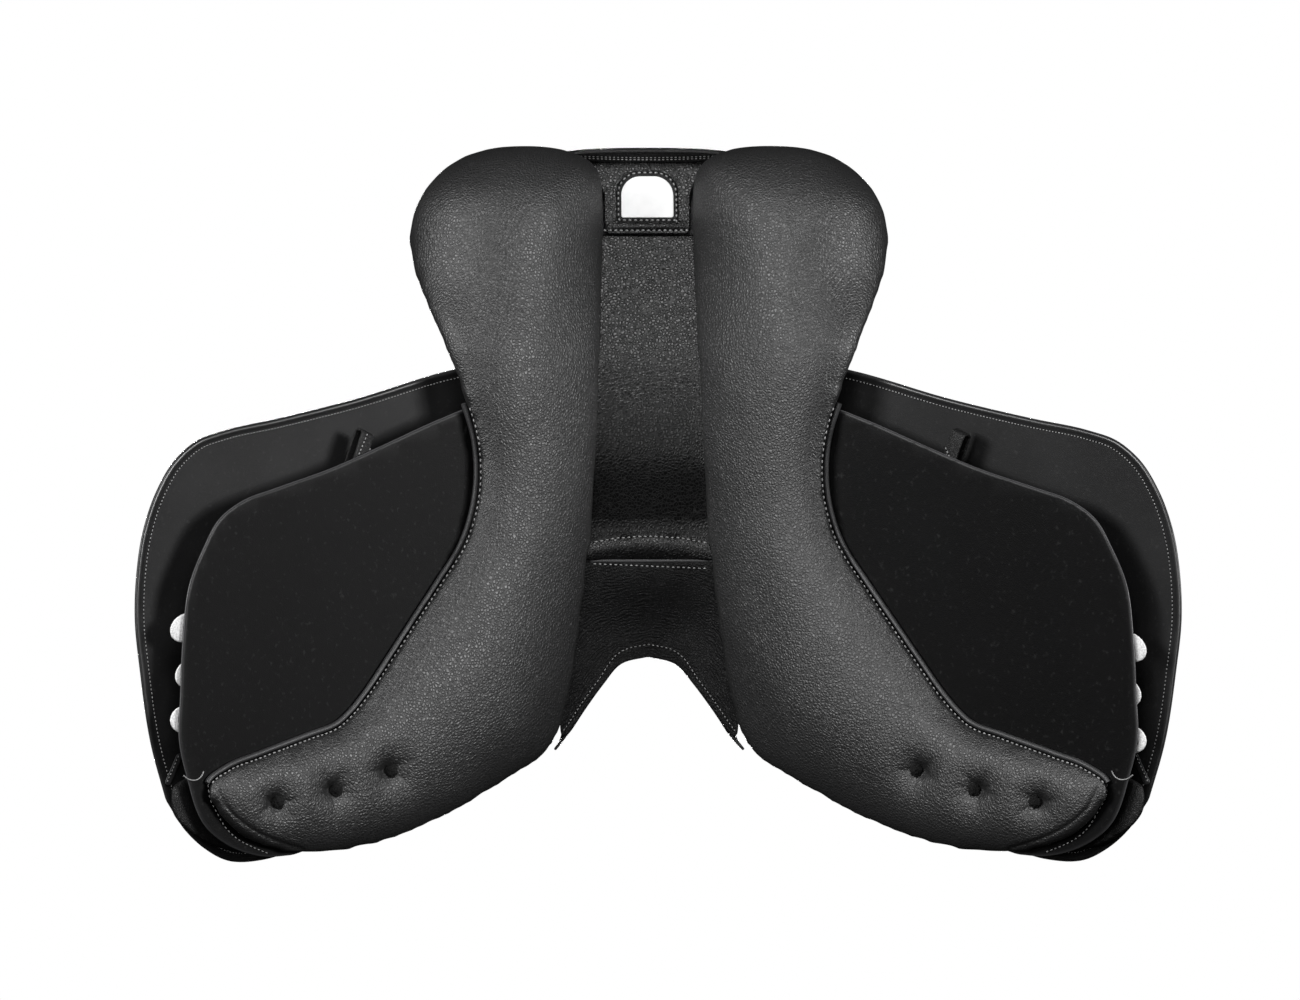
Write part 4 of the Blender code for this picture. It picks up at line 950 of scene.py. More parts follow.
def relaxed(co, neighbours, rounds, share=0.5, free=1.0):
    """Average each point with its neighbours; free says how much of that each point takes."""
    start, end = neighbours
    count = np.bincount(np.concatenate([start, end]), minlength=len(co))[:, None]
    take = share * np.broadcast_to(free, len(co))[:, None]
    for _ in range(rounds):
        total = np.zeros_like(co)
        np.add.at(total, start, co[end])
        np.add.at(total, end, co[start])
        co = co + take * (total / np.maximum(count, 1) - co)
    return co


def eased(co, neighbours, rounds):
    """Take the steps out of a surface without shrinking it."""
    for _ in range(rounds):
        co = relaxed(relaxed(co, neighbours, 1), neighbours, 1, -0.52)
    return co


def inside(ring, co):
    """Which points of a mesh lie within a closed outline, seen from above."""
    x, y = co[:, 0] / MM, co[:, 1] / MM
    within = np.zeros(len(co), bool)
    for (x0, y0), (x1, y1) in zip(ring, ring[1:] + ring[:1]):
        if y0 != y1:
            crossing = (y0 > y) != (y1 > y)
            within ^= crossing & (x < (x1 - x0) * (y - y0) / (y1 - y0) + x0)
    return within


def nearest_point(line, co):
    """The nearest place on an open line for each point of a mesh, seen from above, in mm."""
    place = co[:, :2] / MM
    best, where = np.full(len(co), 1e9), np.zeros((len(co), 2))
    for start, end in zip(line, line[1:]):
        start, way = np.array(start, float), np.subtract(end, start)
        share = np.clip(((place - start) @ way) / max(way @ way, 1e-9), 0, 1)
        on = start + share[:, None] * way
        gap = ((place - on) ** 2).sum(1)
        closer = gap < best
        best[closer], where[closer] = gap[closer], on[closer]
    return where, np.sqrt(best)


def edges_of(obj):
    ends = np.empty(len(obj.data.edges) * 2, int)
    obj.data.edges.foreach_get("vertices", ends)
    ends = ends.reshape(-1, 2)
    return ends[:, 0], ends[:, 1]


def remesh(obj, voxel):
    pick(obj)
    obj.data.remesh_voxel_size = voxel * MM
    bpy.ops.object.voxel_remesh()
    return obj


# The air pressure that stands for the stuffing, and the frames it works for
PRESSURE, FRAMES = 4.0, 20


def inflate(obj, held, cap):
    """Swell a closed form as cloth under air pressure, with some points held and a cap in mm on the rest."""
    before = get_points(obj)
    group = obj.vertex_groups.new(name="held")
    group.add([int(i) for i in np.flatnonzero(held)], 1.0, "REPLACE")
    cloth = obj.modifiers.new("cloth", "CLOTH")
    settings = cloth.settings
    settings.quality = 5
    settings.mass = 0.3
    settings.tension_stiffness = settings.compression_stiffness = 15
    settings.shear_stiffness = 5
    settings.bending_stiffness = 0.5
    settings.use_pressure = True
    settings.uniform_pressure_force = PRESSURE
    settings.effector_weights.gravity = 0
    settings.vertex_group_mass = "held"
    cloth.point_cache.frame_start, cloth.point_cache.frame_end = 1, FRAMES
    scene = bpy.context.scene
    for number in range(1, FRAMES + 1):
        scene.frame_set(number)
    apply_all(obj)
    scene.frame_set(1)
    moved = get_points(obj) - before
    length = np.linalg.norm(moved, axis=1)
    limit = np.minimum(length, cap * MM * np.tanh(length / (cap * MM + 1e-9)))
    moved *= (limit / np.maximum(length, 1e-9))[:, None]
    set_points(obj, before + moved)
    obj.vertex_groups.clear()
    return obj


# How much shallower a panel is at its free edge, how far in that reaches in mm, and how it fades
ROLL_SHARE, ROLL_REACH, ROLL_POWER = 0.34, 68, 1.6


def rolled_off(co, side):
    """Make a panel shallower towards its free edges, so that it rolls away slowly there."""
    free = list(reversed(stretch(panel_outer, 0, 27, 4))) + stretch(panel_inner, 0, 85, 4)
    away = nearest_point(mirrored(free, side), co)[1]
    top = np.array([panel_top(x / MM, y / MM) for x, y in co[:, :2]]) * MM
    shallow = 1 - ROLL_SHARE * np.clip(1 - away / ROLL_REACH, 0, 1) ** ROLL_POWER
    co = co.copy()
    co[:, 2] = top + (co[:, 2] - top) * shallow
    return co


def refine_near(obj, places, reach):
    """Split the faces within reach of some places into four."""
    co = get_points(obj)
    near = np.min([np.hypot(co[:, 0] / MM - x, co[:, 1] / MM - y) for x, y in places], axis=0) < reach
    edit(obj)
    bpy.ops.mesh.select_all(action="DESELECT")
    leave_edit()
    for face in obj.data.polygons:
        face.select = all(near[v] for v in face.vertices)
    bpy.ops.object.mode_set(mode="EDIT")
    bpy.ops.mesh.select_mode(type="FACE")
    bpy.ops.mesh.subdivide(number_cuts=1, smoothness=0)
    leave_edit()


# The band along a panel's seam in mm that isn't smoothed
SEAM_BAND = 3


def smoothed(obj, seam):
    """Take folds and steps out of a stuffed case, away from its seam, and give back what it loses by that."""
    co, normals = get_points(obj), get_normals(obj)
    clear = np.clip((seam - SEAM_BAND) / 10, 0, 1)
    under = np.clip(-1.6 * normals[:, 2], 0, 1) * clear
    co = relaxed(co, edges_of(obj), 22, free=np.clip(seam - SEAM_BAND, 0, 1))
    co = relaxed(co, edges_of(obj), 30, free=under)
    set_points(obj, co)
    normals = get_normals(obj)
    upright = np.clip(1.3 - 1.5 * np.abs(normals[:, 2]), 0, 1)
    give = clear * (3.6 * upright * 1 + 1.5 * under)
    give *= np.clip((0.85 - normals[:, 2]) / 0.35, 0, 1)
    co += normals * (give * MM)[:, None]
    set_points(obj, relaxed(co, edges_of(obj), 8, free=np.clip((seam - SEAM_BAND) / 4, 0, 1)))


def bell(away, width):
    """1 in the middle and fading out over a width."""
    return np.exp(-(away / width) ** 2)


def dimple(co, x, y, number):
    """How far a tuft draws each point in, with puckers that run out from it like spokes."""
    dx, dy = co[:, 0] / MM - x, co[:, 1] / MM - y
    away, turn = np.hypot(dx, dy), np.arctan2(dy, dx)
    spokes = (0.5 + 0.5 * np.cos(5 * turn + 1.7 * number)) ** 3 + 0.6 * (0.5 + 0.5 * np.cos(7 * turn - number)) ** 4
    return 5.0 * bell(away, 6.0) + 3.2 * bell(away, 14.0) + 0.5 * spokes * bell(away - 10, 7.0)


# The stuffed pieces' mesh cells in mm; how far a panel's case is drawn in before it swells, and how far the
# panels and the seat can swell
PANEL_CELL, SEAT_CELL, BLOCK_CELL = 4.5, 5.0, 3.0
LOOSE, PANEL_SWELL, SEAT_SWELL = 2.5, 6.0, 5.0
# How often a panel's lumps and its puckers come in a metre
LUMPS, PUCKERS = 22, 120


def stuffed_panel(word, side):
    """A leather case stuffed with wool: swollen between its seams and drawn in at the tufts."""
    obj = remesh(node_copy("panel_" + word, "stuffed_panel_" + word), PANEL_CELL)
    co = get_points(obj)
    normals = get_normals(obj)
    welted = mirrored(stretch(panel_outer, 28, 85, 4), side)
    ring = mirrored(stretch(panel_inner, 0, 85, 4) + list(reversed(stretch(panel_outer, 0, 85, 4))), side)
    seam = nearest_point(welted, co)[1]
    tufts = [(side * x, y) for x, y in [panel_place(*tuft) for tuft in TUFTS]]
    from_tuft = np.min([np.hypot(co[:, 0] / MM - x, co[:, 1] / MM - y) for x, y in tufts], axis=0)
    held = (normals[:, 2] > 0.5) | (seam < 6) | (from_tuft < 5)
    co[~held] -= normals[~held] * LOOSE * MM
    set_points(obj, co)
    inflate(obj, held, PANEL_SWELL)
    set_points(obj, rolled_off(get_points(obj), side))
    smoothed(obj, nearest_point(welted, get_points(obj))[1])
    subdivide(obj)
    refine_near(obj, tufts, 20)
    co = eased(get_points(obj), edges_of(obj), 3)
    set_points(obj, co)
    normals = get_normals(obj)
    under = np.clip(0.6 - normals[:, 2], 0, 1)
    seam = nearest_point(welted, co)[1]
    move = sum(dimple(co, x, y, number) for number, (x, y) in enumerate(tufts))
    crease = nearest_point(mirrored(CORNER_CREASE, side), co)[1]
    move += 1.2 * bell(crease, 1.3) - 0.1 * bell(crease - 4.0, 2.5)
    lumps = np.array([noise.noise(Vector((x * LUMPS, y * LUMPS, z * LUMPS))) for x, y, z in co])
    puckers = np.array([noise.noise(Vector((x * PUCKERS, y * PUCKERS, 3.1))) for x, y, _ in co])
    move += 0.8 * lumps + 0.8 * puckers * np.exp(-seam / 8) * (seam > 1)
    co -= normals * (move * under * MM)[:, None]
    where, away = nearest_point(welted, co)
    over = (away < 9) & ~inside(ring, co) & (normals[:, 2] < 0.5)
    co[over, :2] = where[over] * MM
    set_points(obj, co)
    dress(smooth_shade(obj), "pebbled_hide", "saddle", ["panel_" + word])
    return obj


def wool_tuft(name, x, y, find):
    """A knot of wool at the bottom of a dimple."""
    place = find(x, y, True, 1.6)
    deselect()
    bpy.ops.mesh.primitive_ico_sphere_add(subdivisions=4, radius=1)
    obj = named(bpy.context.object, name)
    co = get_points(obj)
    size = np.array([1 + 0.30 * noise.noise(Vector((a * 2.2, b * 2.2, c * 2.2 + x)))
                     + 0.22 * noise.noise(Vector((a * 7, b * 7, c * 7 + y))) for a, b, c in co])
    co = (co * size[:, None] * TUFT_SIZE + place) * MM
    set_points(obj, co)
    return smooth_shade(obj)


def bed_below(offset):
    return lambda x: bed(x) + offset


def level(_):
    """The underside of a sheet whose height comes from its sag alone."""
    return 0.0


def strap_outline(hinge, root_y, tip_y, tip, narrower, round_end):
    lean = (tip_y - root_y) / (STRAP_TIP - hinge)
    half = (STRAP_WIDTH / 2 - narrower) * math.hypot(1, lean)
    shoulder = tip - round_end
    ring = [(hinge, root_y + half), (hinge, root_y - half)]
    for step in range(17):
        turn = math.pi * (step / 16 - 0.5)
        x = shoulder + round_end * math.cos(turn)
        ring.append((x, root_y + lean * (x - hinge) + half * math.sin(turn)))
    return ring


# Operators

class SADDLE_OT_panels(bpy.types.Operator):
    """Both stuffed panels, with the wool tufts that hold their stuffing"""
    bl_idname = "saddle.panels"
    bl_label = "Stuffed panels"

    def execute(self, context):
        for word, side in SIDES:
            panel = stuffed_panel(word, side)
            find = surface_of(panel)
            tufts = []
            for number, tuft in enumerate(TUFTS, 1):
                x, y = panel_place(*tuft)
                tufts.append(wool_tuft(f"tuft_{word}_{number}", side * x, y, find))
            dress(join("wool_tufts_" + word, tufts), "wool_knot", "saddle")
        return {"FINISHED"}


class SADDLE_OT_sweat_flaps(bpy.types.Operator):
    """The matt leathers against the horse, and the piping where the panels are sewn to them"""
    bl_idname = "saddle.sweat_flaps"
    bl_label = "Sweat flaps"

    def execute(self, context):
        for word, side in SIDES:
            ring = mirrored(SWEAT_RING, side)
            obj = leather_sheet("sweat_leather_" + word, ring, bed_below(SWEAT_LOW), SWEAT_TOP - SWEAT_LOW)
            dress(obj, "matt_hide", "saddle", ["sweat_flap_" + word])
            self.piping(word, side, obj)
        return {"FINISHED"}

    def piping(self, word, side, sweat):
        panel = bpy.data.objects["stuffed_panel_" + word]
        find_panel = surface_of(panel)
        edge = drawn_in([tuple(panel_outer(7.2 + k / 6)) for k in range(78)], 2.4, closed=False)
        path = [(side * x, y, bed(x) - PIPING) for x, y in edge]
        welt = cord("piping_" + word, path, PIPING)
        dress(welt, "piping_hide", "saddle", ["panel_welt_" + word])
        rows = []
        seam = drawn_in([tuple(panel_outer(7.3 + k / 8)) for k in range(102)], -1.5, closed=False)
        row = traced(find_panel, mirrored(seam, side), True, 0.25)
        rows.append(stitches("seam_" + word, row, 4.85, 1.35))
        row = traced(surface_of(panel, sweat), mirrored(smooth(CORNER_SEAM), side), True, 0.25)
        rows.append(stitches("corner_" + word, row, 4.4, 1.0))
        tail = [(side * x, y, bed(x) + SWEAT_LOW - 0.7) for x, y in smooth(THREAD_END, 4)]
        rows.append(finish(cord("thread_end_" + word, tail, 0.45), "linen_thread"))
        dress(join("panel_thread_" + word, rows), None, "saddle")


class SADDLE_OT_flaps(bpy.types.Operator):
    """The flaps in one piece from root to edge, with a rolled edge and a row of thread"""
    bl_idname = "saddle.flaps"
    bl_label = "Flaps"

    def execute(self, context):
        for word, side in SIDES:
            ring = mirrored(FLAP_RING, side)
            obj = leather_sheet("flap_leather_" + word, ring, flap_low, FLAP_RISE,
                                rim=(0.2, 0.5, 0.7, 1.1, 1.2, 1.0, 1.2, 2.5), bead=1.0, bead_width=5.4)
            find = surface_of(obj)
            line = anticlockwise(spaced(FLAP_RING, 4, closed=True))
            line = opened([p for p in drawn_in(line, 7.2) if p[0] > 99])
            rows = sewn_through("flap_row_" + word, find, mirrored(line, side), 0.15)
            thread = join("flap_thread_" + word, rows)
            blend = bend("flap_" + word, side, FLAP_HINGE, flap_low, *FLAP_BEND)
            dress(obj, "smooth_hide", None, ["flap_root_" + word, "flap_" + word], blend)
            dress(thread, None, None, blend=blend)
            for kind in ("knee", "thigh"):
                self.block(kind, word)
        return {"FINISHED"}

    def block(self, kind, word):
        node_name = f"{kind}_block_{word}"
        obj = remesh(node_copy(node_name, f"{kind}_pad_{word}"), BLOCK_CELL)
        set_points(obj, relaxed(get_points(obj), edges_of(obj), 12))
        dress(smooth_shade(subdivide(obj)), "soft_hide", "flap_" + word, [node_name])


class SADDLE_OT_girth_straps(bpy.types.Operator):
    """Three girth straps a side, with undyed cores that show at their tips"""
    bl_idname = "saddle.girth_straps"
    bl_label = "Girth straps"

    def execute(self, context):
        for word, side in SIDES:
            for number in (1, 2, 3):
                self.strap(word, side, number)
        return {"FINISHED"}

    def strap(self, word, side, number):
        hinge, root_y, tip_y = (values[number - 1] for values in (STRAP_HINGES, STRAP_ROOTS_Y, STRAP_TIPS_Y))
        tip_y += STRAP_SHIFTS[word][number - 1]
        tip = STRAP_REACH[number - 1]
        setback = CORE_SHOWN[number - 1]
        body = f"strap_{word}_{number}"
        face = mirrored(strap_outline(hinge, root_y, tip_y, tip - setback, 0.0, 10.0), side)
        obj = leather_sheet(f"strap_leather_{word}_{number}", face, bed_below(STRAP_LOW), STRAP_TOP - STRAP_LOW,
                            rows=9.0)
        find = surface_of(obj)
        dress(obj, "strap_hide", body, [f"girth_strap_{word}_{number}"])
        lean = (tip_y - root_y) / (STRAP_TIP - hinge)
        core_ring = strap_outline(hinge, root_y, tip_y, tip, 1.4, 12.0)
        core_ring = [(tip - 40, y + lean * (tip - 40 - hinge)) if x < hinge + 1 else (x, y) for x, y in core_ring]
        core = leather_sheet(f"strap_core_{word}_{number}", mirrored(core_ring, side),
                             bed_below(STRAP_LOW + 0.35), STRAP_TOP - STRAP_LOW - 0.7, rim=(0.2, 0.4, 0.6))
        dress(core, "undyed_hide", body)
        line = anticlockwise(strap_outline(hinge, root_y, tip_y, tip - setback, 3.0, 7.5))
        line = opened([p for p in spaced(line, 3.0, closed=True) if p[0] > hinge + 6])
        rows = sewn_through(f"strap_row_{word}_{number}", find, mirrored(line, side), 0.1, 3.4, 0.6)
        dress(join(f"strap_thread_{word}_{number}", rows), None, body)


class SADDLE_OT_skirts(bpy.types.Operator):
    """The small skirts over the stirrup bars, in one piece with their roots"""
    bl_idname = "saddle.skirts"
    bl_label = "Skirts"

    def execute(self, context):
        for word, side in SIDES:
            ring = mirrored(SKIRT_RING, side)
            obj = leather_sheet("skirt_leather_" + word, ring, skirt_low, SKIRT_RISE, columns=5.0, rows=9.0,
                                bead=0.35, bead_width=4.0, rim=(0.2, 0.5, 0.7, 1.0, 1.0, 1.5))
            find = surface_of(obj)
            line = drawn_in(anticlockwise(spaced(SKIRT_RING, 4, closed=True)), 5.0)
            line = opened([p for p in line if p[0] > 88])
            thread = stitches("skirt_thread_" + word, traced(find, mirrored(line, side), False, 0.15))
            blend = bend("skirt_" + word, side, SKIRT_HINGE, skirt_low, *SKIRT_BEND)
            dress(obj, "seat_hide", None, ["skirt_root_" + word, "skirt_" + word], blend)
            dress(thread, None, None, blend=blend)
        return {"FINISHED"}


def gullet_height(x, y):
    """The leathers that bridge the channel and line the arch."""
    return panel_top(x, y) + arch_lift(x, y)


def gusset_height(y):
    return GUSSET_LOW + GUSSET_RISE * (y - GUSSET_FRONT) / (GUSSET_REAR - GUSSET_FRONT)


def mirrored_line(half):
    """A whole line across the saddle from its half on the rider's left, which starts at the middle."""
    return [(-x, y) for x, y in reversed(half[1:])] + list(half)


def channel_rise(y):
    """How far the channel's lining rises to the rear, and to the head, from its lowest place behind the bars."""
    if y > CLIMB_START:
        return 1 - CLIMB_SLOPE * (CLIMB_END - y)
    if y > HEAD_START:
        return HOLLOW_BEND * (y - HOLLOW_PLACE) ** 2 - HOLLOW_DEPTH
    return min(0.0, HEAD_SLOPE * (HEAD_START - y) - HEAD_DEPTH)


def arched(half, foot, top, radius):
    """A flat outline with a straight foot and a round top."""
    ring = [(-half, foot), (half, foot)]
    for step in range(13):
        turn = math.pi / 2 * step / 12
        ring.append((half - radius + radius * math.cos(turn), top - radius + radius * math.sin(turn)))
    return ring + [(-x, y) for x, y in reversed(ring[2:])]


# Where a piece is pressed back behind the arch's edge, half its width, and by what share of its overhang
EDGE_GAP, PRESSED_HALF, PRESSED = 0.6, 60, 0.86


def drawn_back(obj):
    """Press what leans out over the top of the arch back to just behind the arch's edge."""
    co = get_points(obj)
    line = np.array(smooth(ARCH_LINE))
    edge = np.interp(np.abs(co[:, 0]) / MM, line[:, 0], line[:, 1]) + EDGE_GAP
    out = np.maximum(edge - co[:, 1] / MM, 0) * (np.abs(co[:, 0]) / MM < PRESSED_HALF)
    co[:, 1] += PRESSED * out * MM
    set_points(obj, co)


class SADDLE_OT_gullet(bpy.types.Operator):
    """The lining between the panels with its roll, and the lining drawn over the pommel's arch"""
    bl_idname = "saddle.gullet"
    bl_label = "Gullet and arch"

    def execute(self, context):
        lining, pommel = self.lining(), self.pommel_lining()
        roll = [(x, -87.9, gullet_height(x, -88) + 0.9 + 0.0012 * x * x) for x in range(-47, 48, 2)]
        dress(cord("gullet_roll", roll, GULLET_ROLL), "piping_hide", "saddle", ["gullet_welt"])
        facing = softened("pommel_facing", "pommel_front", 0.6, 2)
        drawn_back(facing)
        dress(facing, "soft_hide", "saddle", ["pommel_facing"])
        find = surface_of(lining, pommel)
        arch = mirrored_line(smooth(ARCH_LINE))
        near, far = drawn_in(arch, 5.4, closed=False), drawn_in(arch, 10.0, closed=False)
        edge = []
        for (x0, y0), (x1, y1) in zip(near, far):
            share = 1 - ease(12, 42, abs(x0))
            edge.append((x0 + share * (x1 - x0), y0 + share * (y1 - y0)))
        rows = (("roll_row", [(x, self.roll_row(x)) for x in range(-46, 47, 3)], 0.5, 4.4, 1.25),
                ("lining_row", [(x, -92.0 + 0.042 * x) for x in range(-46, 47, 3)], 0.2, 4.2, 1.1),
                ("arch_row", edge, 0.2, 3.6, 0.8))
        sewn("gullet_thread", find, rows, "saddle")
        return {"FINISHED"}

    def roll_row(self, x):
        return -68.2 - 0.0025 * x * x

    def lining(self):
        def height(x, y):
            row = self.roll_row(x)
            roll = 1 - ease(row - 5, row, y)
            slope = max(0.0, row - 4 - y) / 15
            groove = bell(y - row, 1.2)
            rise = channel_rise(y)
            flat = bed(x) + arch_lift(x, y)
            return (flat + rise * (CHANNEL_HEIGHT + REAR_LIFT - 0.3 * spread(abs(x)) - bed(x))
                    + 1.7 - 2.8 * roll + 4.4 * slope * slope + 1.0 * groove)

        half, front, rear = CHANNEL_LINING_HALF, CHANNEL_LINING_FRONT, CHANNEL_LINING_REAR
        ring = [(-half, front), (half, front), (half, rear), (-half, rear)]
        obj = leather_sheet("gullet_leather", ring, level, 2.4, columns=6, rows=3.0, sag=height)
        return dress(obj, "gullet_hide", "saddle", ["gullet_lining"])

    def pommel_lining(self):
        arch = [place for place in mirrored_line(smooth(ARCH_LINE)) if abs(place[0]) < 72]
        ring = arch + [(ARCH_HALF, POMMEL_LINING_REAR), (-ARCH_HALF, POMMEL_LINING_REAR)]
        obj = leather_sheet("pommel_leather", ring, level, 2.5, columns=5, rows=4.0,
                            sag=lambda x, y: gullet_height(x, y) + 0.4)
        away = nearest_point(arch, get_points(obj))[1] * MM
        paint(obj, "from_arch", away)
        return dress(obj, "drawn_hide", "saddle", ["pommel_lining"])


class SADDLE_OT_gusset(bpy.types.Operator):
    """The leather behind the channel with its bare label, and the facing under the cantle"""
    bl_idname = "saddle.gusset"
    bl_label = "Gusset, label and cantle"

    def execute(self, context):
        gusset, band = self.gusset(), self.band()
        facing = softened("cantle_facing", "cantle_back", 0.8, 2)
        dress(facing, "soft_hide", "saddle", ["cantle_facing"])
        welt = softened("seat_welt", "seat_piping", 0, 2)
        drawn_back(welt)
        dress(welt, "piping_hide", "saddle", ["seat_welt"])
        find = surface_of(gusset, band, self.label())
        rows = (("gusset_row", [(x, GUSSET_ROW) for x in range(-33, 34, 3)], 0.2, 4.4, 1.7),
                ("label_row", self.label_line(), 0.2, 4.5, 1.5),
                ("cantle_row_1", [(x, 233.3 + 0.00055 * x * x) for x in range(-57, 58, 3)], 0.2, 3.3, 0.9),
                ("cantle_row_2", [(x, 235.0 + 0.00045 * x * x) for x in range(-57, 58, 3)], 0.2, 3.3, 0.8))
        sewn("gusset_thread", find, rows, "saddle")
        return {"FINISHED"}

    def gusset(self):
        def height(x, y):
            swell = bell(y - 180.5, 3.6) * max(0.0, 1 - (x / 33) ** 4)
            groove = bell(y - GUSSET_ROW, 0.9)
            return gusset_height(y) - 2.4 * swell + 0.8 * groove

        ring = list(GUSSET_SIDE) + [(-x, y) for x, y in reversed(GUSSET_SIDE)]
        obj = leather_sheet("gusset_leather", ring, level, 2.4, columns=4, rows=1.6, sag=height, step=2.0)
        return dress(obj, "gullet_hide", "saddle", ["rear_gusset"])

    def band(self):
        """The strip between the gusset and the foot of the facing."""
        half = smooth(BAND_FRONT) + smooth(BAND_REAR)
        ring = half + [(-x, y) for x, y in reversed(half[1:-1])]
        obj = leather_sheet("cantle_band", ring, level, 2.0, rim=(0.2, 0.4, 0.6), columns=6, rows=2.0,
                            sag=lambda x, y: 95.4 - 0.45 * (y - 231.4), step=2.5)
        return dress(obj, "soft_hide", "saddle")

    def label(self):
        rim = leather_sheet("label_rim", arched(25.0, 183.0, 224.6, 18.5), level, 1.5,
                            rim=(0.15, 0.35, 0.5, 0.8, 1.0), bead=0.6, bead_width=3.4, columns=5, rows=5,
                            sag=lambda x, y: gusset_height(y) - 1.8, step=1.3)
        dress(rim, "soft_hide", "saddle", ["label_surround"])
        plate = leather_sheet("label_plate", arched(21.0, 187.0, 220.0, 15.5), level, 0.9,
                              rim=(0.1, 0.25, 0.4), columns=6, rows=6,
                              sag=lambda x, y: gusset_height(y) - 2.9, step=0.9)
        dress(plate, "bare_plate", "saddle", ["blank_label"])
        return rim

    def label_line(self):
        line = arched(23.3, 184.8, 222.9, 17.0)
        return spaced(line + [line[0]], 2.5)


def carried(name, material):
    """A CAD node that keeps its shape and gets a finish."""
    soft_shade(finish(frame["nodes"][name], material), 35)
    deselect()


def drawn_to_rim(obj, rim):
    """Draw the rear of the stuffed seat out to its piping along the cantle."""
    co, edge = get_points(obj) / MM, get_points(rim) / MM
    places = np.arange(0.0, 145.0, 6.0)
    reach = [[points[np.abs(np.abs(points[:, 0]) - place) < 6][:, 1].max() for place in places]
             for points in (co, edge)]
    aside = np.abs(co[:, 0])
    seat_end, rim_end = (np.interp(aside, places, line) for line in reach)
    share = np.clip((co[:, 1] - seat_end + DRAWN_OVER) / DRAWN_OVER, 0, 1)
    fade = np.clip((DRAWN_HALF - aside) / DRAWN_FADE, 0, 1)
    co[:, 1] += np.maximum(rim_end - DRAWN_SHORT - seat_end, 0) * share ** 2 * (3 - 2 * share) * fade
    set_points(obj, co * MM)


class SADDLE_OT_seat(bpy.types.Operator):
    """The stuffed seat, with a welted seam on each side of its middle"""
    bl_idname = "saddle.seat"
    bl_label = "Seat"

    def execute(self, context):
        obj = remesh(node_copy("seat_foam", "padded_seat"), SEAT_CELL)
        co, normals = get_points(obj), get_normals(obj)
        floor = normals[:, 2] < SEAT_FLOOR
        grow = np.where(floor, 0.0, TOP_GROWTH + SIDE_GROWTH * np.sqrt(np.clip(1 - normals[:, 2] ** 2, 0, 1)))
        co += normals * (grow * MM)[:, None]
        set_points(obj, co)
        inflate(obj, floor, SEAT_SWELL)
        co = eased(relaxed(get_points(obj), edges_of(obj), 2), edges_of(obj), 10)
        set_points(obj, co)
        drawn_to_rim(obj, bpy.data.objects["seat_piping"])
        subdivide(obj)
        co, normals = get_points(obj), get_normals(obj)
        lines = [mirrored(smooth(SEAT_SEAM), side) for _, side in SIDES]
        upward = np.clip(normals[:, 2], 0, 1)
        for line in lines:
            away = nearest_point(line, co)[1]
            co[:, 2] -= SEAM_DEPTH * bell(away, SEAM_SPREAD) * upward * MM
        set_points(obj, co)
        drawn_back(obj)
        smooth_shade(obj)
        find = surface_of(obj)
        rows = []
        for (word, _), line in zip(SIDES, lines):
            trace = traced(find, line, False, 0.3)
            dress(cord("seat_seam_" + word, trace, SEAT_WELT), "piping_hide", "saddle")
            for number, aside in enumerate((3.6, -3.6)):
                row = traced(find, drawn_in(line, aside, closed=False), False, 0.1)
                rows.append(stitches(f"seat_row_{word}_{number}", row))
        dress(join("seat_thread", rows), None, "saddle")
        dress(obj, "seat_hide", "saddle", ["seat_cover", "seat_foam"])
        return {"FINISHED"}


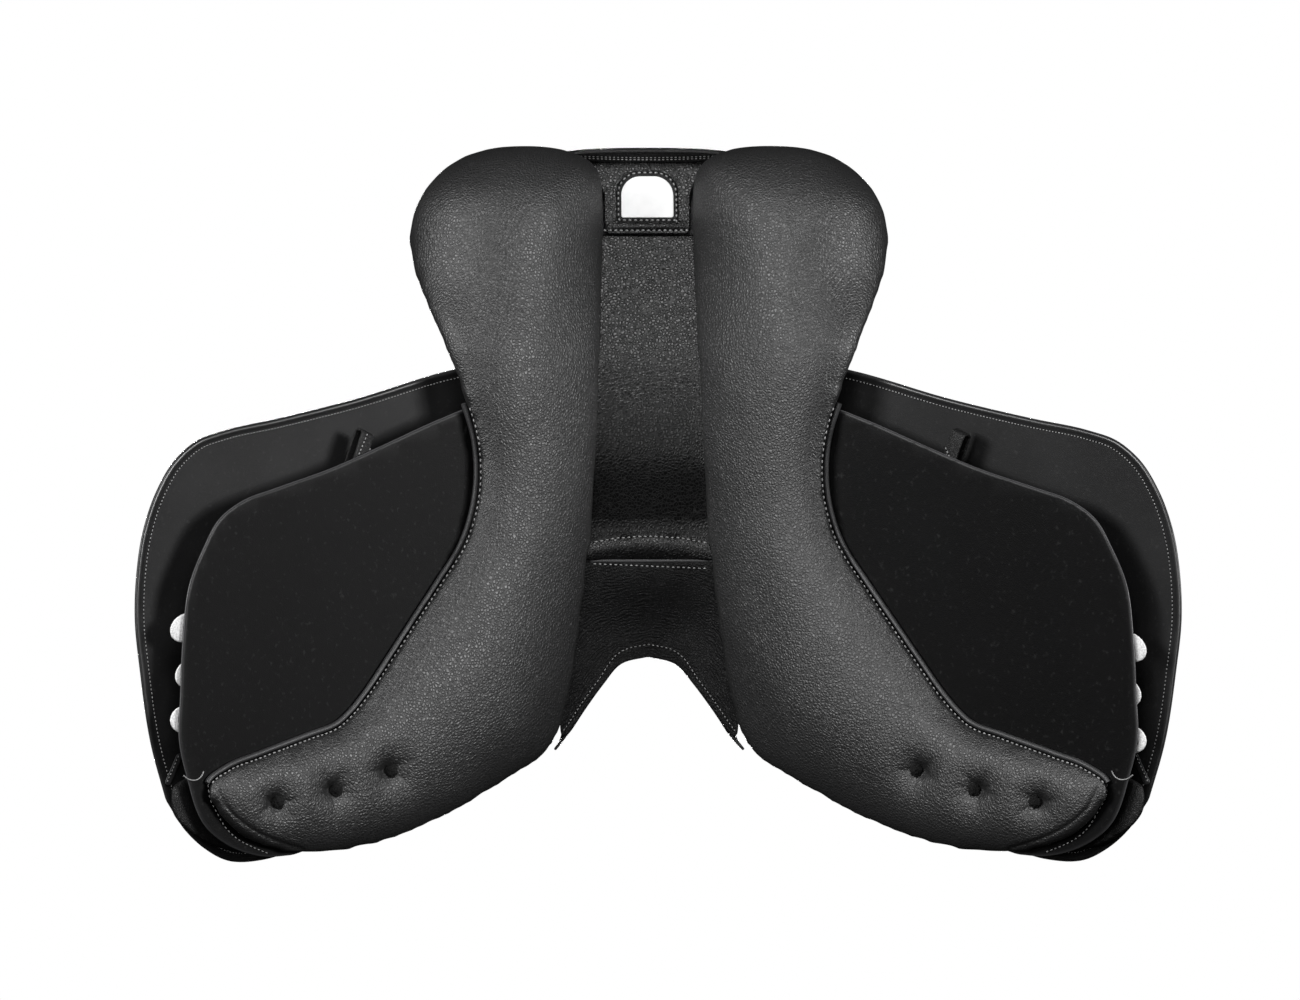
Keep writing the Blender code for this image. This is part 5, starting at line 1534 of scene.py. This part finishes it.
class SADDLE_OT_fittings(bpy.types.Operator):
    """Tree, webbing, stirrup bars, dees, keepers and nails"""
    bl_idname = "saddle.fittings"
    bl_label = "Fittings"

    def execute(self, context):
        carried("tree_shell", "moulded_tree")
        for name in ("girth_web_front", "girth_web_rear"):
            carried(name, "woven_web")
        carried("head_plate", "bar_steel")
        for word, side in SIDES:
            for node_name, edge, levels in (("stirrup_bar_", 0.5, 0), ("stirrup_catch_", 0.5, 0),
                                            ("seat_nail_", 0.35, 1), ("dee_ring_", 0, 2)):
                self.refined(node_name + word, "bar_steel", "steel", edge, levels)
            for node_name in ("dee_chape_", "strap_keeper_", "leather_keeper_"):
                self.refined(node_name + word, "soft_hide", "lining_leather", 0.5, 1)
            self.keeper_rows(word, side)
            self.strip_ends(word, side)
        return {"FINISHED"}

    def refined(self, node_name, material, slot, edge, levels):
        (body,) = body_of(frame["nodes"][node_name])
        obj = softened(node_name, "fine_" + node_name, edge, levels)
        dress(obj, material, body, [node_name])

    def keeper_rows(self, word, side):
        """Two rows of thread along the underside of a strap keeper."""
        find = surface_of(bpy.data.objects["fine_strap_keeper_" + word])
        (x, y), turn = KEEPER_PLACE, math.radians(KEEPER_TURN)
        rows = []
        for number, aside in enumerate((-3.4, 3.2)):
            line = [(x + aside * math.cos(turn) - v * math.sin(turn), y + aside * math.sin(turn) + v * math.cos(turn))
                    for v in range(-24, 26, 2)]
            rows.append((f"keeper_row_{word}_{number}", mirrored(line, side), 0.15, 3.4, 1.1))
        sewn("keeper_thread_" + word, find, rows, "saddle")

    def strip_ends(self, word, side):
        """The two narrow strips that end at the flap's lower corner."""
        for number, (start, end) in enumerate(STRIPS, 1):
            along = np.subtract(end, start) / math.dist(start, end)
            across = np.array((-along[1], along[0])) * STRIP_HALF
            ring = [tuple(place + sign * across) for place, sign in ((start, 1), (end, 1), (end, -1), (start, -1))]
            obj = leather_sheet(f"strip_end_{word}_{number}", mirrored(ring, side), bed_below(FLAP_STANDOFF - 3.2),
                                STRIP_RISE, rim=(0.15, 0.3, 0.5), columns=4, rows=4, step=1.5)
            dress(obj, "piping_hide", "flap_" + word)
            line = [tuple(start + along * step + across * 0.35) for step in range(2, 26, 2)]
            row = traced(surface_of(obj), mirrored(line, side), True, 0.1)
            if len(row) > 2:
                thread = stitches(f"strip_thread_{word}_{number}", row, 3.2, 0.9)
                dress(thread, None, "flap_" + word)


# The lamps below the saddle: tilt off the camera's line and turn round it in degrees, side, share of power
BOXES = (("right_box", 62, 14, 1.0, 1.0), ("left_box", 62, 156, 1.0, 0.88), ("rear_box", 46, 90, 1.0, 0.52),
         ("near_box", 30, 180, 1.0, 0.30), ("camera_box", 0, 0, 1.0, 0.12))
# Where the lamps point to and how far from there they stand, in metres
LAMP_CENTRE, LAMP_DISTANCE = Vector((0, -0.03, -0.05)), 2.6
# The photograph's camera: the place it looks at, the way it looks, and the width it sees there in metres
TARGET, SIGHT, SEEN_WIDTH = Vector((0.0004, -0.0384, 0)), Vector((-0.030, -0.015, 1)), 1.04


def softbox(name, tilt, turn, size, power):
    """A soft lamp that faces the saddle, at an angle from straight below and a turn round that line."""
    tilt, turn = math.radians(tilt), math.radians(turn)
    way = Vector((-math.sin(tilt) * math.cos(turn), math.sin(tilt) * math.sin(turn), -math.cos(tilt)))
    data = bpy.data.lights.new(name, "AREA")
    data.shape = "SQUARE"
    data.size = size
    data.energy = power
    lamp = bpy.data.objects.new(name, data)
    lamp.location = LAMP_CENTRE + way * LAMP_DISTANCE
    lamp.rotation_euler = (-way).to_track_quat("-Z", "Y").to_euler()
    lamp.visible_camera = False
    bpy.context.collection.objects.link(lamp)


class SADDLE_OT_stage(bpy.types.Operator):
    """Pale floor, white surroundings, soft lamps and the camera below the saddle"""
    bl_idname = "saddle.stage"
    bl_label = "Stage"

    def execute(self, context):
        studio = context.scene.saddle_studio
        self.world(studio)
        self.floor()
        self.camera(studio)
        for name, tilt, turn, size, share in BOXES:
            softbox(name, tilt, turn, size, share * studio.below_power)
        softbox("overhead_box", 180, 0, 0.9, studio.above_power)
        return {"FINISHED"}

    def world(self, studio):
        world = bpy.data.worlds.new("studio")
        bpy.context.scene.world = world
        world.use_nodes = True
        tree = world.node_tree
        tree.nodes.clear()
        path = node(tree, "ShaderNodeLightPath")
        seen = math_node(tree, "MAXIMUM", path.outputs["Is Camera Ray"], path.outputs["Is Transmission Ray"])
        strength = node(tree, "ShaderNodeMix", data_type="FLOAT")
        tree.links.new(seen, strength.inputs[0])
        strength.inputs[2].default_value = studio.surroundings
        strength.inputs[3].default_value = 1.0
        light = node(tree, "ShaderNodeBackground")
        light.inputs["Color"].default_value = (1, 1, 1, 1)
        tree.links.new(strength.outputs[0], light.inputs["Strength"])
        tree.links.new(light.outputs[0], node(tree, "ShaderNodeOutputWorld").inputs["Surface"])

    def floor(self):
        """Seen only by a camera above it, so that it never stands between the photograph's camera and the part."""
        deselect()
        bpy.ops.mesh.primitive_plane_add(size=12, location=(0, 0, CAD_BOX[0].z - 0.002))
        floor = settle(named(bpy.context.object, "floor"))
        material = bpy.data.materials.new("pale_floor")
        material.use_nodes = True
        tree = material.node_tree
        shader = tree.nodes["Principled BSDF"]
        shader.inputs["Base Color"].default_value = (0.86, 0.86, 0.86, 1)
        shader.inputs["Roughness"].default_value = 0.9
        path = node(tree, "ShaderNodeLightPath")
        facing = node(tree, "ShaderNodeNewGeometry")
        above = math_node(tree, "SUBTRACT", 1.0, facing.outputs["Backfacing"])
        seen = times(tree, path.outputs["Is Camera Ray"], above)
        clear = node(tree, "ShaderNodeBsdfTransparent")
        mix = node(tree, "ShaderNodeMixShader")
        tree.links.new(seen, mix.inputs[0])
        tree.links.new(clear.outputs[0], mix.inputs[1])
        tree.links.new(shader.outputs[0], mix.inputs[2])
        tree.links.new(mix.outputs[0], tree.nodes["Material Output"].inputs["Surface"])
        floor.data.materials.append(material)

    def camera(self, studio):
        data = bpy.data.cameras.new("camera")
        camera = bpy.data.objects.new("camera", data)
        bpy.context.collection.objects.link(camera)
        data.lens = studio.lens
        data.sensor_width = 36
        way = SIGHT.normalized()
        camera.location = TARGET - way * SEEN_WIDTH * studio.lens / data.sensor_width
        across = Vector((0, 1, 0)).cross(-way).normalized()
        camera.rotation_euler = Matrix((across, across.cross(way), -way)).transposed().to_euler()
        data.clip_end = 100
        bpy.context.scene.camera = camera
        bpy.context.scene.view_settings.view_transform = "Standard"


# Settings and panel

class SADDLE_PG_colours(bpy.types.PropertyGroup):
    panel: bpy.props.FloatVectorProperty(name="Panels", description="Pebbled leather of the panels", size=3,
                                         subtype="COLOR", min=0, max=1, default=(0.010, 0.010, 0.0102))
    flap: bpy.props.FloatVectorProperty(name="Flaps", description="Smooth leather of flaps and seat", size=3,
                                        subtype="COLOR", min=0, max=1, default=(0.012, 0.012, 0.0123))
    sweat: bpy.props.FloatVectorProperty(name="Sweat flaps", description="Matt leather against the horse",
                                         size=3, subtype="COLOR", min=0, max=1, default=(0.0015, 0.0015, 0.0016))
    thread: bpy.props.FloatVectorProperty(name="Thread", description="Waxed linen thread", size=3,
                                          subtype="COLOR", min=0, max=1, default=(0.42, 0.42, 0.42))
    core: bpy.props.FloatVectorProperty(name="Strap tips", description="Undyed core of the girth straps", size=3,
                                        subtype="COLOR", min=0, max=1, default=(0.82, 0.82, 0.82))


class SADDLE_PG_thread(bpy.types.PropertyGroup):
    pitch: bpy.props.FloatProperty(name="Stitch", description="Length of one stitch with its hole",
                                   default=0.0032, min=0.001, max=0.01, unit="LENGTH")
    width: bpy.props.FloatProperty(name="Thread width", description="Thickness of the thread",
                                   default=0.0010, min=0.0002, max=0.003, unit="LENGTH")


class SADDLE_PG_studio(bpy.types.PropertyGroup):
    lens: bpy.props.FloatProperty(name="Lens", description="Focal length of the camera", default=1000, min=50,
                                  unit="CAMERA")
    surroundings: bpy.props.FloatProperty(name="Surroundings", description="Light from all round", default=0.003,
                                          min=0)
    below_power: bpy.props.FloatProperty(name="Lamps below", description="Power of the main lamps below the saddle",
                                         default=60, min=0, unit="POWER")
    above_power: bpy.props.FloatProperty(name="Lamp above", description="Power of the lamp above the saddle",
                                         default=150, min=0, unit="POWER")


STEPS = ("panels", "sweat_flaps", "flaps", "girth_straps", "skirts", "gullet", "gusset", "seat", "fittings",
         "stage")


class SADDLE_PT_build(bpy.types.Panel):
    bl_label = "Saddle"
    bl_idname = "SADDLE_PT_build"
    bl_space_type = "VIEW_3D"
    bl_region_type = "UI"
    bl_category = "Saddle"

    def draw(self, context):
        scene = context.scene
        for settings in (scene.saddle_colours, scene.saddle_thread, scene.saddle_studio):
            for name in settings.__annotations__:
                self.layout.prop(settings, name)
        for step in STEPS:
            self.layout.operator("saddle." + step)


CLASSES = (SADDLE_PG_colours, SADDLE_PG_thread, SADDLE_PG_studio, SADDLE_OT_panels, SADDLE_OT_sweat_flaps,
           SADDLE_OT_flaps, SADDLE_OT_girth_straps, SADDLE_OT_skirts, SADDLE_OT_gullet,
           SADDLE_OT_gusset, SADDLE_OT_seat, SADDLE_OT_fittings, SADDLE_OT_stage, SADDLE_PT_build)


def register():
    for cls in CLASSES:
        bpy.utils.register_class(cls)
    bpy.types.Scene.saddle_colours = bpy.props.PointerProperty(type=SADDLE_PG_colours)
    bpy.types.Scene.saddle_thread = bpy.props.PointerProperty(type=SADDLE_PG_thread)
    bpy.types.Scene.saddle_studio = bpy.props.PointerProperty(type=SADDLE_PG_studio)


def unregister():
    for name in ("saddle_colours", "saddle_thread", "saddle_studio"):
        delattr(bpy.types.Scene, name)
    for cls in reversed(CLASSES):
        bpy.utils.unregister_class(cls)


def main():
    register()
    make_materials()
    for step in STEPS:
        getattr(bpy.ops.saddle, step)()


if __name__ == "__main__":
    main()
